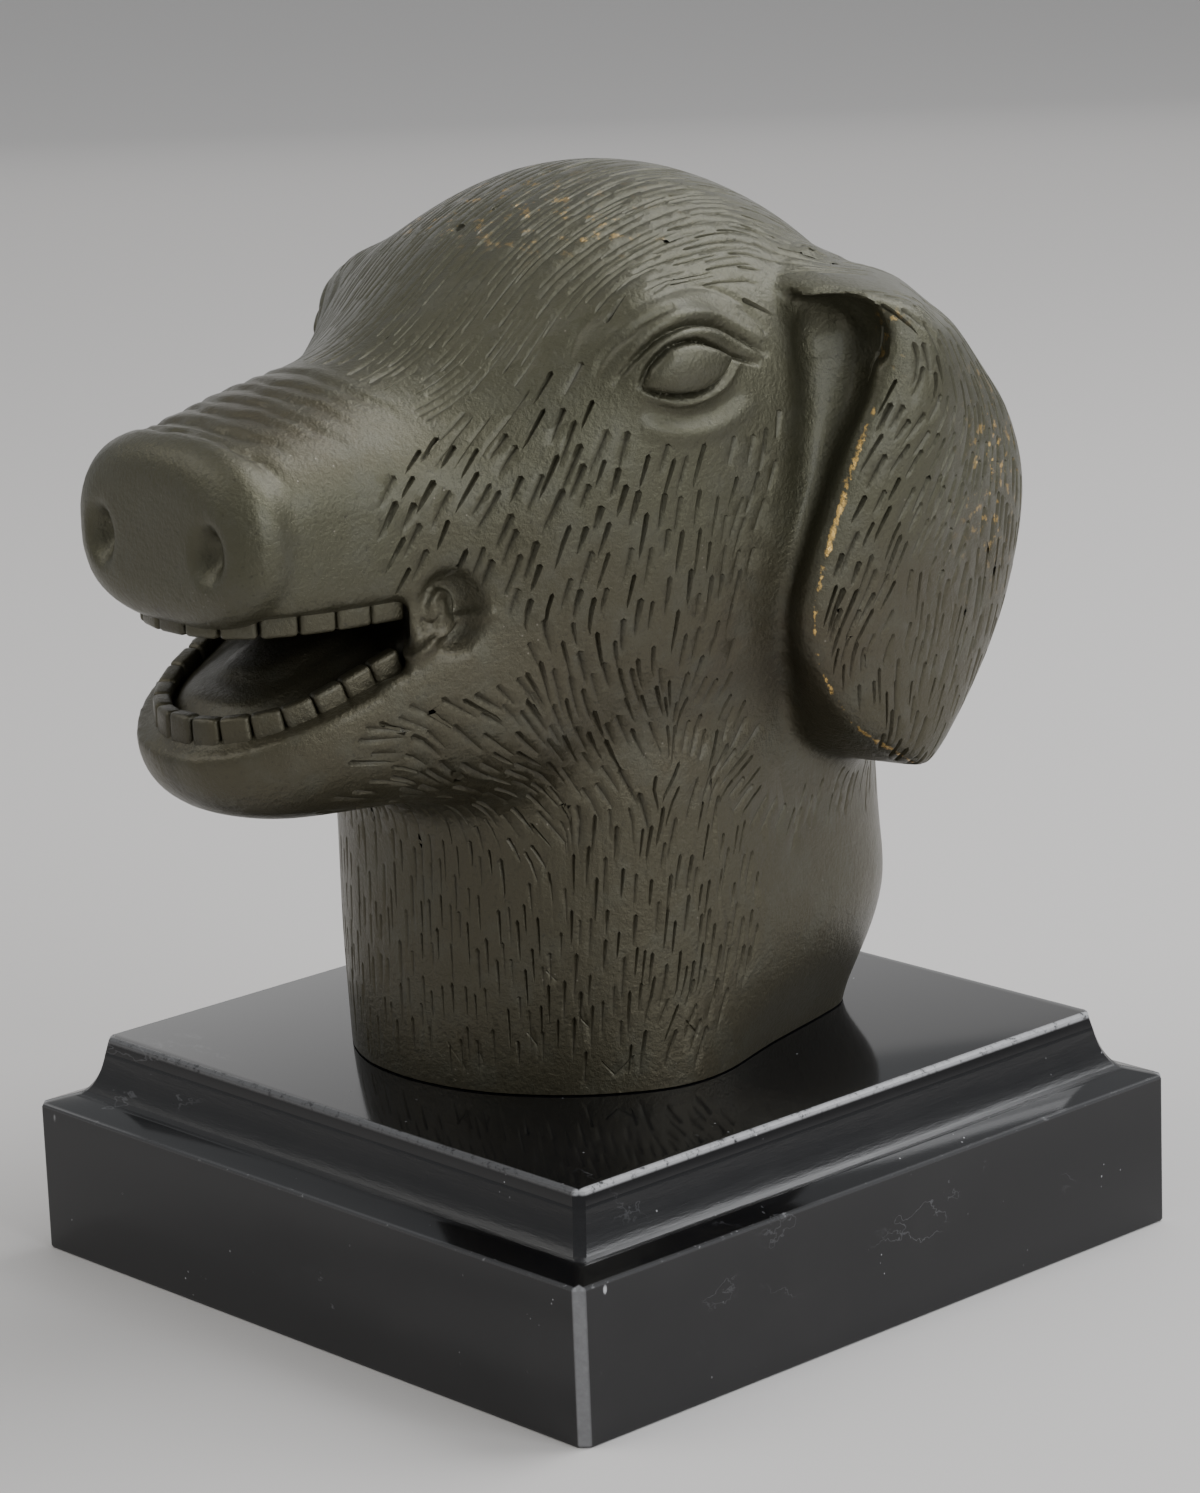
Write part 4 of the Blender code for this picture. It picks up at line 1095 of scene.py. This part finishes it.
def add_stroke(shape, tree, start, kind, chance, depth_share, fixed=None):
    """One tapering cutter that follows the skin from the start, along the hair's lie or the way given."""
    length, width, depth = STROKES[kind][:3]
    length, width, depth = length * chance[0], width * chance[1], depth * chance[2] * depth_share
    spot, normal, *rest = tree.find_nearest(Vector(start))
    rings, gone, last = [], 0.0, None
    for share, wide, deep in STROKE_SHAPE:
        way = fixed or Vector(hair_ways(np.array([spot]), np.array([normal]))[0])
        if last is not None and way.dot(last) < 0:
            way = -way
        last = way
        step = share * length - gone
        gone = share * length
        found = tree.find_nearest(spot + way * step)
        if found[0] is None or found[1].dot(normal) < STROKE_BEND:
            return False
        if (found[0] - spot).length < STROKE_ADVANCE * step:
            return False
        spot, normal = found[0], found[1]
        side = normal.cross(way).normalized()
        if wide == 0.0:
            rings.append([spot + normal * STROKE_TIP])
            continue
        drop = max(depth * deep, STROKE_LEAST)
        reach = width / 2 * wide * (1 + STROKE_RISE / drop)
        rings.append([spot + side * reach + normal * STROKE_RISE, spot - normal * drop,
                      spot - side * reach + normal * STROKE_RISE])
    verts = [[shape.verts.new(point) for point in ring] for ring in rings]
    for low, high in zip(verts, verts[1:]):
        for i in range(3):
            j = (i + 1) % 3
            corners = [low[i % len(low)], low[j % len(low)], high[j % len(high)], high[i % len(high)]]
            shape.faces.new(list(dict.fromkeys(corners)))
    return True


def skin_tree(made):
    """The skin as it is now, for finding the nearest place on it."""
    shape = bmesh.new()
    shape.from_mesh(made.data)
    tree = BVHTree.FromBMesh(shape)
    shape.free()
    return tree


def with_strokes(made, tree, settings):
    """Cuts the strokes in a few lots, because neighbours that touch are slow to cut together."""
    places = stroke_places(made, settings.stroke_tries)
    for lot in range(STROKE_LOTS):
        cutters = bmesh.new()
        for spot, kind, chance in places[lot::STROKE_LOTS]:
            add_stroke(cutters, tree, spot, kind, chance, settings.stroke_depth)
        combined(made, cutters, "DIFFERENCE")
    marks = bmesh.new()
    add_ball(marks, PIT, (PIT_SIZE, PIT_SIZE, PIT_SIZE))
    for start, end in SCRATCHES:
        way = Vector(end) - Vector(start)
        stretch = way.length / STROKES["scratch"][0]
        add_stroke(marks, tree, start, "scratch", (stretch, 1.0, 1.0), 1.0, way.normalized())
    combined(made, marks, "DIFFERENCE")


def with_teeth(made):
    """Joins the teeth on in two goes, so that neighbours aren't joined at once."""
    for first in (1, 3):
        teeth = bmesh.new()
        add_teeth(teeth, first)
        combined(made, teeth, "UNION")


def mark(made, name, values):
    """Writes a number for each vertex, for the material to read."""
    attribute = made.data.attributes.new(name, "FLOAT", "POINT")
    attribute.data.foreach_set("value", np.asarray(values, np.float32))


def sunk(spots, tree):
    """How deep each point lies under the uncut skin."""
    deep = np.zeros(len(spots))
    for i, spot in enumerate(spots):
        found, normal, *rest = tree.find_nearest(Vector(spot), 2.0)
        if found is not None:
            deep[i] = max(0.0, normal.dot(found - Vector(spot)))
    return deep


def mark_wear_and_shade(made, tree):
    """Writes on the skin how near each point is to a rubbed edge, where the patina is warm, and where shade
    is painted.
    """
    spots = vertex_rows(made, "co")
    left = np.stack([np.abs(spots[:, 0]), spots[:, 1], spots[:, 2]], axis=1)
    rim = even_points([(row[1][0], row[1][1], row[0]) for row in EAR[3:]], 60, False)
    x, y, z = left.T
    mark(made, "edge", line_reach(left, rim)[0] + near(RIM_WEAR, z))
    back = np.exp(-(((y - 50.0) / 8.0) ** 2 + ((z - 104.0) / 15.0) ** 2)) * (x > 46.0)
    fold = np.exp(-(((y - 25.0) / 2.0) ** 2 + ((z - 132.0) / 4.0) ** 2)) * (x > 52.0)
    crown = 0.45 * np.exp(-(((y + 16.0) / 12.0) ** 2)) * np.clip((z - 148.0) / 3.0, 0, 1) * (x < 30.0)
    gap = np.linalg.norm(spots - np.array(PIT), axis=1)
    rim = 1.4 * np.exp(-(((gap - 1.35 * PIT_SIZE) / 0.5) ** 2))
    mark(made, "rubbed", np.clip(np.maximum.reduce([back, fold, crown, rim]), 0, 1.5))
    snout = np.exp(-(((y + 76.0) / 16.0) ** 2)) * np.clip((z - 116.0) / 8.0, 0, 1)
    below = 0.75 * np.clip((104.0 - z) / 16.0, 0, 1) * (y < 60.0)
    mark(made, "warm", np.clip(np.maximum(snout, below), 0, 1))
    # The inside of the mouth behind the teeth gets painted shade. The cuts get theirs by depth, but not
    # inside the mouth.
    mouth = (y < -49.0) & (x < near(INNER_SIDE, y) - 4.6) & (z > near(LOWER_RIM, y) - 12.0) & (z < 97.5)
    mark(made, "inner", mouth * 1.0)
    mark(made, "stroke", np.clip(sunk(spots, tree) / STROKE_SHADE_DEPTH, 0.0, 1.0) * (mouth == 0))


def fine_head(settings):
    """The whole head, from its soft body to the marks of wear and painted shade, at its real size."""
    made = head_body()
    cut(made, conch_cut, 0.0)
    remeshed(made, BODY_GRAIN, BODY_SMOOTHING // 4)
    cut(made, mouth_cut)
    cut(made, cavity_cut)
    cut(made, pocket_cut)
    head_details(made)
    cut(made, conch_cut, CONCH_LIP)
    remeshed(made, FINE_GRAIN, FINE_SMOOTHING)
    refined(made)
    carved(made)
    cut_flat(made)
    lightened(made, SKIN_TRIANGLES)
    tree = skin_tree(made)
    with_teeth(made)
    with_strokes(made, tree, settings)
    lightened(made, HEAD_TRIANGLES)
    mended(made)
    mark_wear_and_shade(made, tree)
    made.data.transform(Matrix.Translation((0, 0, HEAD_FOOT)) @ Matrix.Scale(UNIT * HEAD_FIT, 4))
    smooth_shaded(made, 38.0)
    return made


def smooth_shaded(made, angle):
    """Shades the object smooth but for edges sharper than the angle, in degrees."""
    bpy.ops.object.select_all(action="DESELECT")
    made.select_set(True)
    bpy.context.view_layer.objects.active = made
    bpy.ops.object.shade_smooth_by_angle(angle=math.radians(angle))


def plinth():
    """The stepped square plinth, from its foot up to the flat that carries the head."""
    slab, step = SLAB_ARRIS, STEP_ARRIS
    profile = [
        (slab, 0.0), (0.3 * slab, 0.3 * slab), (0.0, slab), (0.0, SLAB_HEIGHT - slab),
        (0.3 * slab, SLAB_HEIGHT - 0.3 * slab), (slab, SLAB_HEIGHT), *cove_profile(),
        (STEP_INSET, PLINTH_TOP - step), (STEP_INSET + 0.12 * step, PLINTH_TOP - 0.5 * step),
        (STEP_INSET + 0.5 * step, PLINTH_TOP - 0.12 * step), (STEP_INSET + step, PLINTH_TOP),
    ]
    shape = bmesh.new()
    add_loft(shape, [square_ring(inset, height) for inset, height in profile])
    made = link("black_plinth", shape)
    smooth_shaded(made, 30.0)
    return made


def add_floor(settings):
    bpy.ops.mesh.primitive_plane_add(size=FLOOR_SIZE, location=(0.0, 0.0, 0.0))
    floor = bpy.context.active_object
    floor.name = "floor"
    made = Finish("plain floor")
    floor.data.materials.append(made.set(base_color=tuple(settings.floor), roughness=0.75))


# The lights: name, place, size, share of the key light's power, and colour. They look at one height.
LIGHTS = [
    ("key", (0.30, 0.72, 1.05), (0.9, 0.9), 1.0, (0.97, 0.98, 1.0)),
    ("side", (1.2, 0.05, 0.65), (0.7, 0.7), 0.6, (0.94, 0.97, 1.0)),
    ("front", (-0.55, -0.8, 1.05), (0.9, 0.9), 0.38, (1.0, 0.98, 0.94)),
    ("card", (-1.15, 1.05, 0.46), (1.5, 0.6), 0.085, (1.0, 0.97, 0.95)),
]
LIGHT_AIM = (0.0, 0.0, 0.1)
SKY = (0.86, 0.88, 0.90, 1.0)
SKY_STRENGTH = 0.5
FLOOR_SIZE = 16.0


def add_lights(settings):
    world = bpy.data.worlds.new("studio")
    world.use_nodes = True
    sky = world.node_tree.nodes["Background"]
    sky.inputs["Color"].default_value = SKY
    sky.inputs["Strength"].default_value = SKY_STRENGTH
    bpy.context.scene.world = world
    for name, place, size, share, colour in LIGHTS:
        data = bpy.data.lights.new(name, "AREA")
        data.shape = "RECTANGLE"
        data.size, data.size_y = size
        data.energy = settings.key_power * share
        data.color = colour
        light = bpy.data.objects.new(name, data)
        light.location = place
        light.rotation_euler = (Vector(LIGHT_AIM) - Vector(place)).to_track_quat("-Z", "Y").to_euler()
        bpy.context.scene.collection.objects.link(light)


# The camera's turn round the object, height above it and roll, in degrees, and what it looks at.
CAMERA = (47.4188, 14.5048, -2.2101)
CAMERA_AIM = (-0.05445, 0.053625, 0.075)
CAMERA_REACH = 0.98142


def add_camera(settings):
    turn, lift, roll = (math.radians(angle) for angle in CAMERA)
    back = Vector((math.sin(turn) * math.cos(lift), -math.cos(turn) * math.cos(lift), math.sin(lift)))
    right = (-back).cross(Vector((0.0, 0.0, 1.0))).normalized()
    up = right.cross(-back)
    across = right * math.cos(roll) + up * math.sin(roll)
    upright = up * math.cos(roll) - right * math.sin(roll)
    data = bpy.data.cameras.new("camera")
    data.lens = settings.lens
    camera = bpy.data.objects.new("camera", data)
    place = Vector(CAMERA_AIM) + back * CAMERA_REACH
    camera.matrix_world = Matrix.Translation(place) @ Matrix((across, upright, back)).transposed().to_4x4()
    bpy.context.scene.collection.objects.link(camera)
    bpy.context.scene.camera = camera


def triangle_count(made):
    made.data.calc_loop_triangles()
    return len(made.data.loop_triangles)


def colour_of(name, what, default):
    return FloatVectorProperty(name=name, description=f"Colour of {what}", subtype="COLOR", default=default,
                               min=0.0, max=1.0)


def length_of(name, description, default):
    return FloatProperty(name=name, description=description, default=default, unit="LENGTH")


class PigHeadSettings(PropertyGroup):
    stroke_depth: FloatProperty(name="Stroke depth", default=1.0, min=0.2, max=2.0,
                                description="Depth of the hair strokes, as a share of the usual")
    stroke_tries: IntProperty(name="Stroke tries", description="How many places are tried for a hair stroke",
                              default=STROKE_TRIES, min=100)
    patina: colour_of("Patina", "the olive patina", (0.074, 0.071, 0.043))
    grey_patina: colour_of("Grey patina", "the waxed, greyer patches", (0.089, 0.087, 0.063))
    warm_patina: colour_of("Warm patina", "the browner snout and lower parts", (0.068, 0.057, 0.034))
    # Colour of the dark pits in the grain, and of the painted shade in the cuts and inside the mouth.
    pits_and_painted_shade: colour_of("Recesses", "the cuts and the mouth", (0.020, 0.017, 0.012))
    worn_gold: colour_of("Worn gold", "the rubbed metal", (0.62, 0.40, 0.13))


class PlinthSettings(PropertyGroup):
    black: colour_of("Black", "the stone", (0.0040, 0.0040, 0.0048))
    haze: colour_of("Haze", "the greyer clouds in it", (0.0110, 0.0105, 0.0110))
    vein: colour_of("Vein", "its veins", (0.16, 0.16, 0.17))
    # Also the colour of the painted highlight on the step's edge on the lit side.
    wear_and_highlight: colour_of("Worn edge", "chips and rubbed edges", (0.42, 0.42, 0.43))
    slab_edge_in: length_of("Slab edge", "Half width at the slab's upper edge", PLINTH_SIDE / 2 - EDGE_INSET)
    slab_edge_up: length_of("Slab edge height", "Height of the slab's upper edge", SLAB_HEIGHT - EDGE_INSET)
    step_edge_in: length_of("Step edge", "Half width at the step's upper edge",
                            PLINTH_SIDE / 2 - STEP_INSET - EDGE_INSET)
    step_edge_up: length_of("Step edge height", "Height of the step's upper edge", PLINTH_TOP - EDGE_INSET)


class StageSettings(PropertyGroup):
    floor: colour_of("Floor", "the floor", (0.62, 0.60, 0.585))
    lens: FloatProperty(name="Lens", description="Focal length of the camera, in millimetres",
                        default=118.2, min=20.0)
    key_power: FloatProperty(name="Key light", description="Power of the large soft light",
                             default=14.0, unit="POWER")


class OBJECT_OT_bronze_pig_head(Operator):
    """Adds the bronze head with its carving, teeth and hair strokes"""
    bl_idname = "object.bronze_pig_head"
    bl_label = "Bronze pig head"

    def execute(self, context):
        settings = context.scene.pig_head
        made = fine_head(settings)
        made.name = "bronze_head"
        made.data.materials.clear()
        made.data.materials.append(bronze(settings))
        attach(made, "root")
        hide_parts("pig_head")
        return {"FINISHED"}


class OBJECT_OT_marble_plinth(Operator):
    """Adds the stepped black marble plinth"""
    bl_idname = "object.marble_plinth"
    bl_label = "Marble plinth"

    def execute(self, context):
        settings = context.scene.pig_plinth
        made = plinth()
        made.data.materials.append(marble(settings))
        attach(made, "root")
        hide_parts("plinth")
        return {"FINISHED"}


class OBJECT_OT_pig_stage(Operator):
    """Adds the floor, the soft lights and the camera"""
    bl_idname = "object.pig_stage"
    bl_label = "Stage"

    def execute(self, context):
        settings = context.scene.pig_stage
        add_floor(settings)
        add_lights(settings)
        add_camera(settings)
        return {"FINISHED"}


class VIEW3D_PT_pig_head(Panel):
    bl_label = "Pig head"
    bl_space_type = "VIEW_3D"
    bl_region_type = "UI"
    bl_category = "Pig head"

    def draw(self, context):
        for group, operator in (
            (context.scene.pig_head, "object.bronze_pig_head"),
            (context.scene.pig_plinth, "object.marble_plinth"),
            (context.scene.pig_stage, "object.pig_stage"),
        ):
            box = self.layout.box()
            for name in group.bl_rna.properties.keys():
                if name not in ("rna_type", "name"):
                    box.prop(group, name)
            box.operator(operator)


CLASSES = [
    PigHeadSettings, PlinthSettings, StageSettings, OBJECT_OT_marble_plinth, OBJECT_OT_bronze_pig_head,
    OBJECT_OT_pig_stage, VIEW3D_PT_pig_head,
]


def register():
    for made in CLASSES:
        bpy.utils.register_class(made)
    bpy.types.Scene.pig_head = PointerProperty(type=PigHeadSettings)
    bpy.types.Scene.pig_plinth = PointerProperty(type=PlinthSettings)
    bpy.types.Scene.pig_stage = PointerProperty(type=StageSettings)


def unregister():
    del bpy.types.Scene.pig_head
    del bpy.types.Scene.pig_plinth
    del bpy.types.Scene.pig_stage
    for made in reversed(CLASSES):
        bpy.utils.unregister_class(made)


def main():
    register()
    bpy.ops.object.pig_stage()
    bpy.ops.object.marble_plinth()
    bpy.ops.object.bronze_pig_head()


if __name__ == "__main__":
    main()
